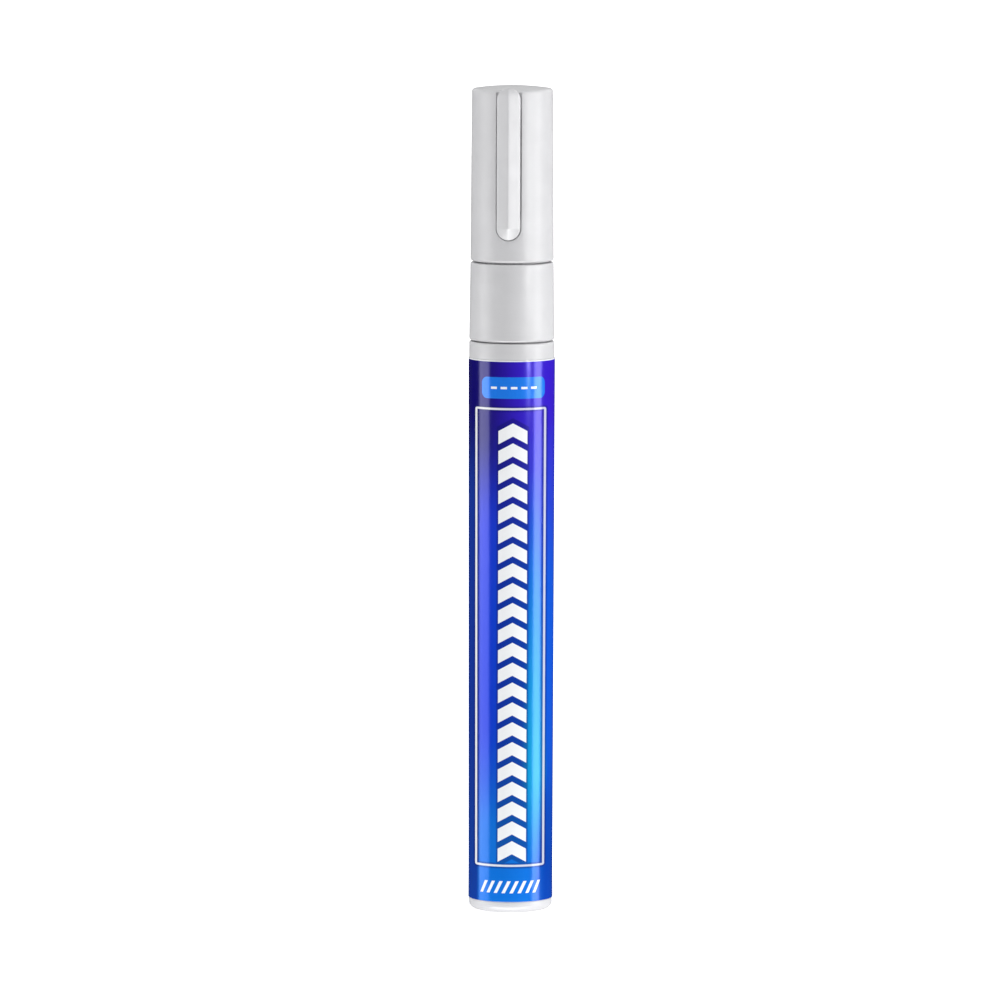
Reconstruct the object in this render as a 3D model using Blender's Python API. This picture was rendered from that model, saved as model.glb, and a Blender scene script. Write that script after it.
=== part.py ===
"""Fabric marker with a valve-fed fibre nib, capped and standing on its tail.

Metres, +Z up. The origin is the centre of the base, and every turned piece has Z as its axis.
The clip faces -Y. Each named object is one separate piece of the marker, modelled from its own
datum height and then placed on the axis. Outlines are lists of (radius, height, fillet) corners
that run down the outer side of the piece.
"""

import math

import bmesh
import bpy
from mathutils import Vector

# Overall sizes
LENGTH = 0.1430
CAP_LENGTH = 0.03025
BAND_LENGTH = 0.0133
PARTING_GAP = 0.0003
PARTING_ROUND = 0.00025
LIP_ROUND = 0.00045

# Clearances
SEAT_GAP = 0.0003
FIT_GAP = 0.00005
OVERRUN = 0.0010
AXIS_MERGE = 0.000001

# Barrel
BARREL_TOP_WALL = 0.00113
BARREL_FOOT_WALL = 0.00118
BARREL_BORE_DRAFT = 0.00025
BARREL_FLOOR = 0.0018
COLLAR_HEIGHT = 0.00275
FOOT_HEIGHT = 0.00185
FOOT_ROUND = 0.0012
FLOOR_ROUND = 0.0015
SOCKET_RUN = 0.0012
SOCKET_CHAMFER = 0.0003

# Label sleeve
LABEL_WALL = 0.00012
LABEL_CLEARANCE = 0.00005
LABEL_PROUD = 0.0001
LABEL_END_GAP = 0.0001
PANEL_ROUND = 0.00004

# Front section, from the spigot in the barrel to the nozzle
SPIGOT_WALL = 0.0010
SPIGOT_LENGTH = 0.0084
SPIGOT_CLEARANCE = 0.00015
SPIGOT_CHAMFER = 0.0004
SPIGOT_BEAD_WIDTH = 0.0008
SPIGOT_BEAD_SHARES = (0.30, 0.68)
CAP_SEAT_LENGTH = 0.0074
CAP_SEAT_STEP = 0.00075
CAP_SEAT_CLEARANCE = 0.00015
CAP_SEAT_ROUND = 0.0004
SNAP_BEAD_WIDTH = 0.0010
SNAP_BEAD_SHARE = 0.62
CONE_SPREAD = 0.0015
CONE_FILLET = 0.0004
NOZZLE_WALL = 0.0010
NOZZLE_DRAFT = 0.00015
NOZZLE_LENGTH = 0.0040
NOZZLE_ROUND = 0.00035
SHOULDER_CLEARANCE = 0.00045
PASSAGE_CLEARANCE = 0.00015
PASSAGE_LENGTH = 0.0042
RETAINER_BEAD = 0.00025
RETAINER_BEAD_LENGTH = 0.0006
INK_SLOT_WIDTH = 0.0010
INK_SLOT_DEPTH = 0.0004

# Nib
NIB_RADIUS = 0.0025
NIB_LENGTH = 0.0251
NIB_EXPOSED = 0.0047
NIB_HEADROOM = 0.0047
NIB_TRAVEL = 0.0020
NIB_BULLET_LENGTH = 0.0034
NIB_REAR_CHAMFER = 0.0005

# Valve
SEAL_THICKNESS = 0.0013
SEAL_INK_GAP = 0.0008
SEAL_CLEARANCE = 0.0001
SEAL_ROUND = 0.0002
CAGE_LENGTH = 0.0119
CAGE_FLANGE_LENGTH = 0.0025
CAGE_WALL = 0.0007
CAGE_INK_GAP = 0.0008
CAGE_FLOOR = 0.0012
CAGE_GUIDE_RADIUS = 0.00125
CAGE_CLEARANCE = 0.0001
CAGE_ROUND = 0.0002
WINDOW_WIDTH = 0.0020
WINDOW_LENGTH = 0.0045
WINDOW_RISE = 0.0010
PLUNGER_STEM_RADIUS = 0.0013
PLUNGER_HEAD_THICKNESS = 0.0015
PLUNGER_HEAD_MARGIN = 0.0004
PLUNGER_HEAD_GAP = 0.0005
PLUNGER_LIP_MARGIN = 0.0001
PLUNGER_LIP_WIDTH = 0.0005
PLUNGER_LIP_HEIGHT = 0.0003
PLUNGER_GUIDE_CLEARANCE = 0.0001
PLUNGER_PIN_OVERRUN = 0.0006
PLUNGER_ROUND = 0.0003
SPRING_WIRE_RADIUS = 0.0002
SPRING_PIN_GAP = 0.00085
SPRING_TURNS = 7.5

# Cap
CAP_MOUTH_WALL = 0.0011
CAP_TOP_WALL = 0.00115
CAP_BORE_STEP = 0.0002
CAP_BORE_DRAFT = 0.00005
CAP_CEILING = 0.0012
CAP_STEP_RISE = 0.0010
CAP_CROWN = 0.00055
CAP_EDGE_ROUND = 0.00055
CAP_MOUTH_CHAMFER = 0.00035
CAP_INNER_FILLET = 0.0006

# Clip
CLIP_LENGTH = 0.0261
CLIP_TOP_DROP = 0.0001
CLIP_WIDTH = 0.0040
CLIP_STANDOFF = 0.00035
CLIP_EDGE = 0.00045
CLIP_RIDGE = 0.00105
CLIP_TOP_ROLL = 0.0014
CLIP_ROLL_SHARE = 0.35
CLIP_RIDGE_SOFTNESS_SHARE = 0.05
CLIP_ROOT_LENGTH = 0.0036
CLIP_SINK = 0.0003
CLIP_TOP_ROUND = 0.0004
CLIP_NUB = 0.0005
CLIP_NUB_LENGTH = 0.0024
CLIP_NUB_DISTANCE = 0.0030
RECESS_DEPTH = 0.0003
RECESS_MARGIN = 0.00022
RECESS_TOP_DROP = 0.0009

# Inner cap
CUP_FLANGE_LENGTH = 0.0017
CUP_TOP = 0.0009
CUP_WALL = 0.00075
CUP_LIP_STEP = 0.0001
CUP_LIP_LENGTH = 0.0018
CUP_FILLET = 0.0005

# Mixing balls
BALL_GAP = 0.0006
BALL_WALL_GAP = 0.0007

# Faces round each piece, and steps along its curves
LARGE_SEGMENTS = 56
MIDDLE_SEGMENTS = 40
SMALL_SEGMENTS = 24
LARGE_FILLET = 0.0010
LARGE_FILLET_STEPS = 5
SMALL_FILLET = 0.00045
SMALL_FILLET_STEPS = 2
FILLET_STEPS = 3
CROWN_STEPS = 4
BULLET_STEPS = 7
BALL_RINGS = 10
BALL_SEGMENTS = 16
SPRING_POINTS_PER_TURN = 10
SMOOTH_ANGLE = math.radians(32)
MM_PER_M = 1000

# Radii of the valve, spigot and barrel, worked out from the plunger's stem and pin outwards
SEAL_HOLE_RADIUS = PLUNGER_STEM_RADIUS + SEAL_INK_GAP
PLUNGER_LIP_INNER_RADIUS = SEAL_HOLE_RADIUS + PLUNGER_LIP_MARGIN
PLUNGER_LIP_RADIUS = PLUNGER_LIP_INNER_RADIUS + PLUNGER_LIP_WIDTH
PLUNGER_HEAD_RADIUS = PLUNGER_LIP_RADIUS + PLUNGER_HEAD_MARGIN
PLUNGER_PIN_RADIUS = CAGE_GUIDE_RADIUS - PLUNGER_GUIDE_CLEARANCE
SPRING_MEAN_RADIUS = PLUNGER_PIN_RADIUS + SPRING_PIN_GAP + SPRING_WIRE_RADIUS
CAGE_BORE_RADIUS = PLUNGER_HEAD_RADIUS + PLUNGER_HEAD_GAP
CAGE_BODY_RADIUS = CAGE_BORE_RADIUS + CAGE_WALL
VALVE_BORE_RADIUS = CAGE_BODY_RADIUS + CAGE_INK_GAP
SPIGOT_RADIUS = VALVE_BORE_RADIUS + SPIGOT_WALL
BARREL_SOCKET_RADIUS = SPIGOT_RADIUS + SPIGOT_CLEARANCE
BARREL_TOP_RADIUS = BARREL_SOCKET_RADIUS + BARREL_TOP_WALL
BARREL_FLOOR_RADIUS = BARREL_SOCKET_RADIUS - BARREL_BORE_DRAFT
BARREL_FOOT_RADIUS = BARREL_FLOOR_RADIUS + BARREL_FOOT_WALL
BALL_RADIUS = (BARREL_FLOOR_RADIUS - BALL_WALL_GAP - BALL_GAP / 2) / 2

# Radii of the nozzle, cap and inner cap, worked out from the nib outwards
NIB_BORE_RADIUS = NIB_RADIUS + FIT_GAP
INK_SLOT_REACH = NIB_BORE_RADIUS + INK_SLOT_DEPTH
PASSAGE_RADIUS = INK_SLOT_REACH + PASSAGE_CLEARANCE
NOZZLE_TIP_RADIUS = NIB_BORE_RADIUS + NOZZLE_WALL
NOZZLE_ROOT_RADIUS = NOZZLE_TIP_RADIUS + NOZZLE_DRAFT
CONE_FOOT_RADIUS = NOZZLE_ROOT_RADIUS + CONE_SPREAD
CAP_SEAT_RADIUS = CONE_FOOT_RADIUS + CAP_SEAT_STEP
CAP_BORE_RADIUS = CAP_SEAT_RADIUS + CAP_SEAT_CLEARANCE
CAP_MOUTH_RADIUS = CAP_BORE_RADIUS + CAP_MOUTH_WALL
CAP_UPPER_BORE_RADIUS = CAP_BORE_RADIUS - CAP_BORE_STEP
CAP_TOP_BORE_RADIUS = CAP_UPPER_BORE_RADIUS - CAP_BORE_DRAFT
CAP_TOP_RADIUS = CAP_TOP_BORE_RADIUS + CAP_TOP_WALL
CUP_LIP_RADIUS = NOZZLE_ROOT_RADIUS + FIT_GAP
CUP_BORE_RADIUS = CUP_LIP_RADIUS + CUP_LIP_STEP
CUP_SKIRT_RADIUS = CUP_BORE_RADIUS + CUP_WALL
CUP_FLANGE_RADIUS = CAP_TOP_BORE_RADIUS - FIT_GAP

# Heights, worked out from the overall length down through the cap, nib and valve
BARREL_TOP = LENGTH - CAP_LENGTH - PARTING_GAP - BAND_LENGTH - PARTING_GAP
BAND_FOOT = BARREL_TOP + PARTING_GAP
BAND_TOP = BAND_FOOT + BAND_LENGTH
CAP_MOUTH = BAND_TOP + PARTING_GAP
CUP_TOP_FACE = LENGTH - CAP_CROWN - CAP_CEILING - SEAT_GAP
NOZZLE_TOP = CUP_TOP_FACE - CUP_TOP - NIB_HEADROOM - NIB_EXPOSED
CONE_TOP = NOZZLE_TOP - NOZZLE_LENGTH
NIB_FOOT = NOZZLE_TOP + NIB_EXPOSED - NIB_LENGTH
SHOULDER = NIB_FOOT - NIB_TRAVEL - SHOULDER_CLEARANCE
SEAL_FOOT = SHOULDER - SEAT_GAP - SEAL_THICKNESS
CAGE_TOP = SEAL_FOOT - SEAT_GAP
CAGE_FOOT = CAGE_TOP - CAGE_LENGTH
PLUNGER_HEAD_FOOT = SEAL_FOOT - SEAT_GAP - PLUNGER_LIP_HEIGHT - PLUNGER_HEAD_THICKNESS

MATERIALS = {
    "white_plastic": ((0.80, 0.80, 0.81), 0.30, 0.0),
    "label_film": ((0.03, 0.06, 0.62), 0.22, 0.0),
    "soft_plastic": ((0.72, 0.74, 0.76), 0.50, 0.0),
    "nib_fibre": ((0.86, 0.85, 0.80), 0.90, 0.0),
    "seal_rubber": ((0.05, 0.05, 0.05), 0.70, 0.0),
    "valve_plastic": ((0.62, 0.66, 0.70), 0.40, 0.0),
    "spring_steel": ((0.62, 0.62, 0.62), 0.28, 1.0),
    "ball_steel": ((0.70, 0.70, 0.71), 0.15, 1.0),
}


def clear_scene():
    for thing in list(bpy.data.objects):
        bpy.data.objects.remove(thing)


def material(piece, look):
    """A material of the piece's own, with the colour, roughness and metallic value of its look."""
    colour, roughness, metallic = MATERIALS[look]
    made = bpy.data.materials.new(f"{piece}_{look}")
    made.use_nodes = True
    shader = made.node_tree.nodes["Principled BSDF"]
    shader.inputs["Base Color"].default_value = (*colour, 1.0)
    shader.inputs["Roughness"].default_value = roughness
    shader.inputs["Metallic"].default_value = metallic
    made.diffuse_color = (*colour, 1.0)
    return made


def add_piece(name, data, look, location, axis):
    piece = bpy.data.objects.new(name, data)
    data.materials.append(material(name, look))
    piece.location = location
    piece.parent = axis
    bpy.context.scene.collection.objects.link(piece)
    return piece


def add_tool(name, mesh, piece):
    """A cutter or an added shape, in the piece's own frame and left out of the model."""
    tool = bpy.data.objects.new(name, mesh)
    tool.location = piece.location
    tool.parent = piece.parent
    tool.hide_render = True
    tool.display_type = "WIRE"
    bpy.context.scene.collection.objects.link(tool)
    return tool


def combine(piece, tool, operation):
    modifier = piece.modifiers.new(tool.name, "BOOLEAN")
    modifier.operation = operation
    modifier.solver = "EXACT"
    modifier.object = tool


def arc(centre, radius, start, end, steps):
    """Points on an arc about a centre, from one angle to another."""
    angles = [start + (end - start) * step / steps for step in range(steps + 1)]
    return [centre + Vector((math.cos(angle), math.sin(angle))) * radius for angle in angles]


def fillet_steps(radius):
    if radius >= LARGE_FILLET:
        return LARGE_FILLET_STEPS
    return SMALL_FILLET_STEPS if radius <= SMALL_FILLET else FILLET_STEPS


def fillet_arc(before, corner, after, radius):
    """The arc that rounds a corner between two straight runs."""
    to_before = (before - corner).normalized()
    to_after = (after - corner).normalized()
    half_angle = to_before.angle(to_after) / 2
    centre = corner + (to_before + to_after).normalized() * radius / math.sin(half_angle)
    first = corner + to_before * radius / math.tan(half_angle) - centre
    last = corner + to_after * radius / math.tan(half_angle) - centre
    start = math.atan2(first.y, first.x)
    turn = math.atan2(last.y, last.x) - start
    turn = (turn + math.pi) % math.tau - math.pi
    return arc(centre, radius, start, start + turn, fillet_steps(radius))


def rounded(corners):
    """Outline points of (radius, height, fillet) corners, with each fillet drawn as an arc."""
    outline = []
    for index, (radius, height, fillet) in enumerate(corners):
        corner = Vector((radius, height))
        if fillet == 0:
            outline.append(corner)
            continue
        before = Vector(corners[index - 1][:2])
        after = Vector(corners[(index + 1) % len(corners)][:2])
        outline += fillet_arc(before, corner, after, fillet)
    return outline


def turned(name, outline, segments):
    """A mesh turned about Z. An outline that starts on the axis also ends there."""
    shape = bmesh.new()
    points = [shape.verts.new((radius, 0, height)) for radius, height in outline]
    edges = [shape.edges.new(pair) for pair in zip(points, points[1:])]
    if outline[0][0] > 0:
        edges.append(shape.edges.new((points[-1], points[0])))
    bmesh.ops.spin(
        shape,
        geom=points + edges,
        cent=(0, 0, 0),
        axis=(0, 0, 1),
        angle=math.tau,
        steps=segments,
        use_merge=True,
    )
    bmesh.ops.remove_doubles(shape, verts=shape.verts, dist=AXIS_MERGE)
    return finished(name, shape)


def finished(name, shape):
    bmesh.ops.recalc_face_normals(shape, faces=shape.faces)
    mesh = bpy.data.meshes.new(name)
    shape.to_mesh(mesh)
    shape.free()
    mesh.shade_smooth()
    mesh.set_sharp_from_angle(angle=SMOOTH_ANGLE)
    return mesh


def box(name, size, centre):
    shape = bmesh.new()
    bmesh.ops.create_cube(shape, size=1)
    bmesh.ops.scale(shape, verts=shape.verts, vec=size)
    bmesh.ops.translate(shape, verts=shape.verts, vec=centre)
    return finished(name, shape)


def barrel_radius(height):
    """Radius of the barrel's drafted outside, at its bare collar and foot."""
    share = height / BARREL_TOP
    return BARREL_FOOT_RADIUS + (BARREL_TOP_RADIUS - BARREL_FOOT_RADIUS) * share


def cap_radius(height):
    """Radius of the cap's drafted outside, at a height over its mouth."""
    share = height / CAP_LENGTH
    return CAP_MOUTH_RADIUS + (CAP_TOP_RADIUS - CAP_MOUTH_RADIUS) * share


def bead(radius, foot_radius, foot, width):
    """Corners of a low bead round a spigot, from its top over its crest to its foot."""
    return [(foot_radius, foot + width, 0), (radius, foot + width / 2, 0), (foot_radius, foot, 0)]


def make_barrel(axis):
    """Closed-end tube: bare collar, shallow label panel and rounded foot outside, reservoir inside."""
    panel_depth = LABEL_WALL + LABEL_CLEARANCE - LABEL_PROUD
    panel_top = BARREL_TOP - COLLAR_HEIGHT
    socket_foot = BARREL_TOP - SPIGOT_LENGTH - SOCKET_RUN
    corners = [
        (0, BARREL_FLOOR, 0),
        (BARREL_FLOOR_RADIUS, BARREL_FLOOR, FLOOR_ROUND),
        (BARREL_SOCKET_RADIUS, socket_foot, 0),
        (BARREL_SOCKET_RADIUS, BARREL_TOP - SOCKET_CHAMFER, 0),
        (BARREL_SOCKET_RADIUS + SOCKET_CHAMFER, BARREL_TOP, 0),
        (barrel_radius(BARREL_TOP), BARREL_TOP, PARTING_ROUND),
        (barrel_radius(panel_top), panel_top, PANEL_ROUND),
        (barrel_radius(panel_top) - panel_depth, panel_top, 0),
        (barrel_radius(FOOT_HEIGHT) - panel_depth, FOOT_HEIGHT, 0),
        (barrel_radius(FOOT_HEIGHT), FOOT_HEIGHT, PANEL_ROUND),
        (barrel_radius(0), 0, FOOT_ROUND),
        (0, 0, 0),
    ]
    add_piece("barrel", turned("barrel", rounded(corners), LARGE_SEGMENTS), "white_plastic", (0, 0, 0), axis)


def make_label_sleeve(axis):
    """Thin printed film that lies in the barrel's panel and stands slightly proud of the collar."""
    top = BARREL_TOP - COLLAR_HEIGHT - LABEL_END_GAP
    foot = FOOT_HEIGHT + LABEL_END_GAP
    top_radius = barrel_radius(top) + LABEL_PROUD
    foot_radius = barrel_radius(foot) + LABEL_PROUD
    corners = [
        (top_radius, top, 0),
        (foot_radius, foot, 0),
        (foot_radius - LABEL_WALL, foot, 0),
        (top_radius - LABEL_WALL, top, 0),
    ]
    mesh = turned("label_sleeve", rounded(corners), LARGE_SEGMENTS)
    add_piece("label_sleeve", mesh, "label_film", (0, 0, 0), axis)


def section_outside():
    """Corners from the nozzle's face down to the spigot's end. Heights from the band's foot."""
    snap_radius = CAP_BORE_RADIUS - FIT_GAP
    spigot_bead_radius = BARREL_SOCKET_RADIUS - FIT_GAP
    seat_top = BAND_LENGTH + CAP_SEAT_LENGTH
    snap_foot = BAND_LENGTH + CAP_SEAT_LENGTH * SNAP_BEAD_SHARE
    corners = [
        (NOZZLE_TIP_RADIUS, NOZZLE_TOP - BAND_FOOT, NOZZLE_ROUND),
        (NOZZLE_ROOT_RADIUS, CONE_TOP - BAND_FOOT, CONE_FILLET),
        (CONE_FOOT_RADIUS, seat_top, CONE_FILLET),
        (CAP_SEAT_RADIUS, seat_top, CAP_SEAT_ROUND),
        *bead(snap_radius, CAP_SEAT_RADIUS, snap_foot, SNAP_BEAD_WIDTH),
        (CAP_SEAT_RADIUS, BAND_LENGTH, 0),
        (CAP_MOUTH_RADIUS, BAND_LENGTH, PARTING_ROUND),
        (BARREL_TOP_RADIUS, 0, LIP_ROUND),
        (SPIGOT_RADIUS, 0, 0),
    ]
    for share in SPIGOT_BEAD_SHARES:
        foot = -SPIGOT_LENGTH * share - SPIGOT_BEAD_WIDTH
        corners += bead(spigot_bead_radius, SPIGOT_RADIUS, foot, SPIGOT_BEAD_WIDTH)
    corners += [
        (SPIGOT_RADIUS, SPIGOT_CHAMFER - SPIGOT_LENGTH, 0),
        (SPIGOT_RADIUS - SPIGOT_CHAMFER, -SPIGOT_LENGTH, 0),
    ]
    return corners


def section_inside():
    """Corners from the rear of the valve bore up to the nozzle's face. Heights from the band's foot."""
    shoulder = SHOULDER - BAND_FOOT
    flange_foot = CAGE_TOP - CAGE_FLANGE_LENGTH - BAND_FOOT
    bead_top = flange_foot - SEAT_GAP
    bead_foot = bead_top - RETAINER_BEAD_LENGTH
    return [
        (VALVE_BORE_RADIUS, -SPIGOT_LENGTH, 0),
        (VALVE_BORE_RADIUS, bead_foot, 0),
        (VALVE_BORE_RADIUS - RETAINER_BEAD, bead_foot + RETAINER_BEAD, 0),
        (VALVE_BORE_RADIUS - RETAINER_BEAD, bead_top, 0),
        (VALVE_BORE_RADIUS, bead_top, 0),
        (VALVE_BORE_RADIUS, shoulder, 0),
        (PASSAGE_RADIUS, shoulder, 0),
        (PASSAGE_RADIUS, shoulder + PASSAGE_LENGTH, 0),
        (NIB_BORE_RADIUS, shoulder + PASSAGE_LENGTH, 0),
        (NIB_BORE_RADIUS, NOZZLE_TOP - BAND_FOOT, 0),
    ]


def make_front_section(axis):
    """One moulding from the spigot in the barrel to the nozzle, with four ink slots along the nib bore."""
    outline = rounded(section_outside() + section_inside())
    mesh = turned("front_section", outline, MIDDLE_SEGMENTS)
    section = add_piece("front_section", mesh, "white_plastic", (0, 0, BAND_FOOT), axis)
    slot_foot = SHOULDER + PASSAGE_LENGTH - OVERRUN - BAND_FOOT
    slot_top = NOZZLE_TOP + OVERRUN - BAND_FOOT
    slot_span = 2 * INK_SLOT_REACH
    centre = (0, 0, (slot_foot + slot_top) / 2)
    spans = {"across": (slot_span, INK_SLOT_WIDTH), "along": (INK_SLOT_WIDTH, slot_span)}
    for side, (width, depth) in spans.items():
        size = (width, depth, slot_top - slot_foot)
        slot = add_tool(f"ink_slot_{side}", box(f"ink_slot_{side}", size, centre), section)
        combine(section, slot, "DIFFERENCE")


def make_nib(axis):
    """Fibre rod with an elliptical bullet point and a chamfered rear end."""
    bullet_foot = NIB_LENGTH - NIB_BULLET_LENGTH
    angles = [math.pi / 2 * (1 - step / BULLET_STEPS) for step in range(BULLET_STEPS + 1)]
    outline = [
        (NIB_RADIUS * math.cos(angle), bullet_foot + NIB_BULLET_LENGTH * math.sin(angle)) for angle in angles
    ]
    outline[0] = (0, NIB_LENGTH)
    outline += [(NIB_RADIUS, NIB_REAR_CHAMFER), (NIB_RADIUS - NIB_REAR_CHAMFER, 0), (0, 0)]
    add_piece("nib", turned("nib", outline, SMALL_SEGMENTS), "nib_fibre", (0, 0, NIB_FOOT), axis)


def make_valve_seal(axis):
    """Rubber ring between the section's shoulder and the cage; the plunger's lip closes on its underside."""
    outer = VALVE_BORE_RADIUS - SEAL_CLEARANCE
    corners = [
        (outer, SEAL_THICKNESS, SEAL_ROUND),
        (outer, 0, SEAL_ROUND),
        (SEAL_HOLE_RADIUS, 0, SEAL_ROUND),
        (SEAL_HOLE_RADIUS, SEAL_THICKNESS, SEAL_ROUND),
    ]
    mesh = turned("valve_seal", rounded(corners), SMALL_SEGMENTS)
    add_piece("valve_seal", mesh, "seal_rubber", (0, 0, SEAL_FOOT), axis)


def make_valve_cage(axis):
    """Cup with a flange held over the section's bead, four windows and a guide hole in its floor."""
    flange_radius = VALVE_BORE_RADIUS - CAGE_CLEARANCE
    flange_foot = CAGE_LENGTH - CAGE_FLANGE_LENGTH
    corners = [
        (flange_radius, CAGE_LENGTH, CAGE_ROUND),
        (flange_radius, flange_foot, 0),
        (CAGE_BODY_RADIUS, flange_foot, 0),
        (CAGE_BODY_RADIUS, 0, CAGE_ROUND),
        (CAGE_GUIDE_RADIUS, 0, 0),
        (CAGE_GUIDE_RADIUS, CAGE_FLOOR, 0),
        (CAGE_BORE_RADIUS, CAGE_FLOOR, CAGE_ROUND),
        (CAGE_BORE_RADIUS, CAGE_LENGTH, 0),
    ]
    mesh = turned("valve_cage", rounded(corners), SMALL_SEGMENTS)
    cage = add_piece("valve_cage", mesh, "valve_plastic", (0, 0, CAGE_FOOT), axis)
    window_foot = CAGE_FLOOR + WINDOW_RISE
    span = 2 * (CAGE_BODY_RADIUS + OVERRUN)
    centre = (0, 0, window_foot + WINDOW_LENGTH / 2)
    spans = {"across": (span, WINDOW_WIDTH), "along": (WINDOW_WIDTH, span)}
    for side, (width, depth) in spans.items():
        size = (width, depth, WINDOW_LENGTH)
        window = add_tool(f"cage_window_{side}", box(f"cage_window_{side}", size, centre), cage)
        combine(cage, window, "DIFFERENCE")


def make_valve_plunger(axis):
    """Stem to the nib, sealing head with a raised lip, and a guide pin through the cage's floor."""
    stem_top = NIB_FOOT - SEAT_GAP - PLUNGER_HEAD_FOOT
    pin_foot = CAGE_FOOT - PLUNGER_PIN_OVERRUN - PLUNGER_HEAD_FOOT
    lip_top = PLUNGER_HEAD_THICKNESS + PLUNGER_LIP_HEIGHT
    corners = [
        (0, stem_top, 0),
        (PLUNGER_STEM_RADIUS, stem_top, PLUNGER_ROUND),
        (PLUNGER_STEM_RADIUS, PLUNGER_HEAD_THICKNESS, 0),
        (PLUNGER_LIP_INNER_RADIUS, PLUNGER_HEAD_THICKNESS, 0),
        (PLUNGER_LIP_INNER_RADIUS, lip_top, 0),
        (PLUNGER_LIP_RADIUS, lip_top, 0),
        (PLUNGER_LIP_RADIUS, PLUNGER_HEAD_THICKNESS, 0),
        (PLUNGER_HEAD_RADIUS, PLUNGER_HEAD_THICKNESS, 0),
        (PLUNGER_HEAD_RADIUS, 0, PLUNGER_ROUND),
        (PLUNGER_PIN_RADIUS, 0, PLUNGER_ROUND),
        (PLUNGER_PIN_RADIUS, pin_foot, PLUNGER_ROUND),
        (0, pin_foot, 0),
    ]
    mesh = turned("valve_plunger", rounded(corners), SMALL_SEGMENTS)
    add_piece("valve_plunger", mesh, "valve_plastic", (0, 0, PLUNGER_HEAD_FOOT), axis)


def spring_point(turn, pitch):
    angle = math.tau * turn
    across = SPRING_MEAN_RADIUS * math.cos(angle)
    along = SPRING_MEAN_RADIUS * math.sin(angle)
    return Vector((across, along, SPRING_WIRE_RADIUS + pitch * turn))


def least_gap(points):
    """The least clear distance between turns of the spring, from wire surface to wire surface."""
    apart = SPRING_POINTS_PER_TURN // 2
    distances = [
        (other - point).length
        for index, point in enumerate(points)
        for other in points[index + apart :]
    ]
    return min(distances) - 2 * SPRING_WIRE_RADIUS


def make_valve_spring(axis):
    """Wire helix round the plunger's pin, between the cage's floor and the plunger's head."""
    foot = CAGE_FOOT + CAGE_FLOOR + SEAT_GAP
    height = PLUNGER_HEAD_FOOT - SEAT_GAP - foot
    pitch = (height - 2 * SPRING_WIRE_RADIUS) / SPRING_TURNS
    count = round(SPRING_TURNS * SPRING_POINTS_PER_TURN)
    points = [spring_point(SPRING_TURNS * step / count, pitch) for step in range(count + 1)]
    print(f"valve_spring: least gap between turns {least_gap(points) * MM_PER_M:.2f} mm")
    curve = bpy.data.curves.new("valve_spring", "CURVE")
    curve.dimensions = "3D"
    curve.bevel_depth = SPRING_WIRE_RADIUS
    curve.bevel_resolution = 1
    curve.use_fill_caps = True
    spline = curve.splines.new("POLY")
    spline.points.add(count)
    for place, point in zip(spline.points, points):
        place.co = (*point, 1)
    spline.use_smooth = True
    add_piece("valve_spring", curve, "spring_steel", (0, 0, foot), axis)


def end_steps(radius):
    """Distances from a rounded end of the cross-sections that draw it."""
    turn_shares = (0.08, 0.22, 0.4, 0.6, 0.8, 1)
    return [radius * (1 - math.cos(math.pi / 2 * share)) for share in turn_shares]


def end_half_width(radius, distance):
    """Half the width of a strip with a rounded end, at a distance from that end."""
    if distance >= radius:
        return radius
    return math.sqrt(radius**2 - (radius - distance) ** 2)


def wall_point(across, radius, height):
    """A point on the clip's side of the cap, at a distance across and one from the axis."""
    return (across, -math.sqrt(radius**2 - across**2), height)


def lofted(name, rings):
    """A solid whose skin joins its cross-sections, from the lowest to the highest."""
    shape = bmesh.new()
    loops = [[shape.verts.new(place) for place in ring] for ring in rings]
    for lower, upper in zip(loops, loops[1:]):
        for index in range(len(lower)):
            shape.faces.new((lower[index - 1], lower[index], upper[index], upper[index - 1]))
    shape.faces.new(loops[0])
    shape.faces.new(reversed(loops[-1]))
    return finished(name, shape)


def clip_roll(from_foot, from_top):
    """How much of the face's height is left along the sloping tip and where the top rolls off."""
    slope_share = min(from_foot / (CLIP_WIDTH / 2), 1)
    arch_share = math.sqrt(1 - (1 - min(from_top / CLIP_TOP_ROLL, 1)) ** 2)
    return CLIP_ROLL_SHARE + (1 - CLIP_ROLL_SHARE) * min(slope_share, arch_share)


def clip_nub(height, foot):
    """Height of the rounded nub on the clip's inner side."""
    from_nub = abs(height - foot - CLIP_NUB_DISTANCE)
    if from_nub >= CLIP_NUB_LENGTH / 2:
        return 0
    return CLIP_NUB * (1 + math.cos(math.tau * from_nub / CLIP_NUB_LENGTH)) / 2


def clip_inner_radius(height, foot, top, root):
    """Distance from the axis of the clip's inner side, which curves into the recess's floor at its root."""
    clear = cap_radius(height) + CLIP_STANDOFF
    gap = CLIP_STANDOFF + RECESS_DEPTH
    if height > root:
        rise = max(CLIP_TOP_ROUND - (top - height), 0)
        return clear - gap - CLIP_SINK + CLIP_TOP_ROUND - math.sqrt(CLIP_TOP_ROUND**2 - rise**2)
    to_root = root - height
    if to_root < gap:
        return clear - gap + math.sqrt(gap**2 - (gap - to_root) ** 2)
    return clear - clip_nub(height, foot)


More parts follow.
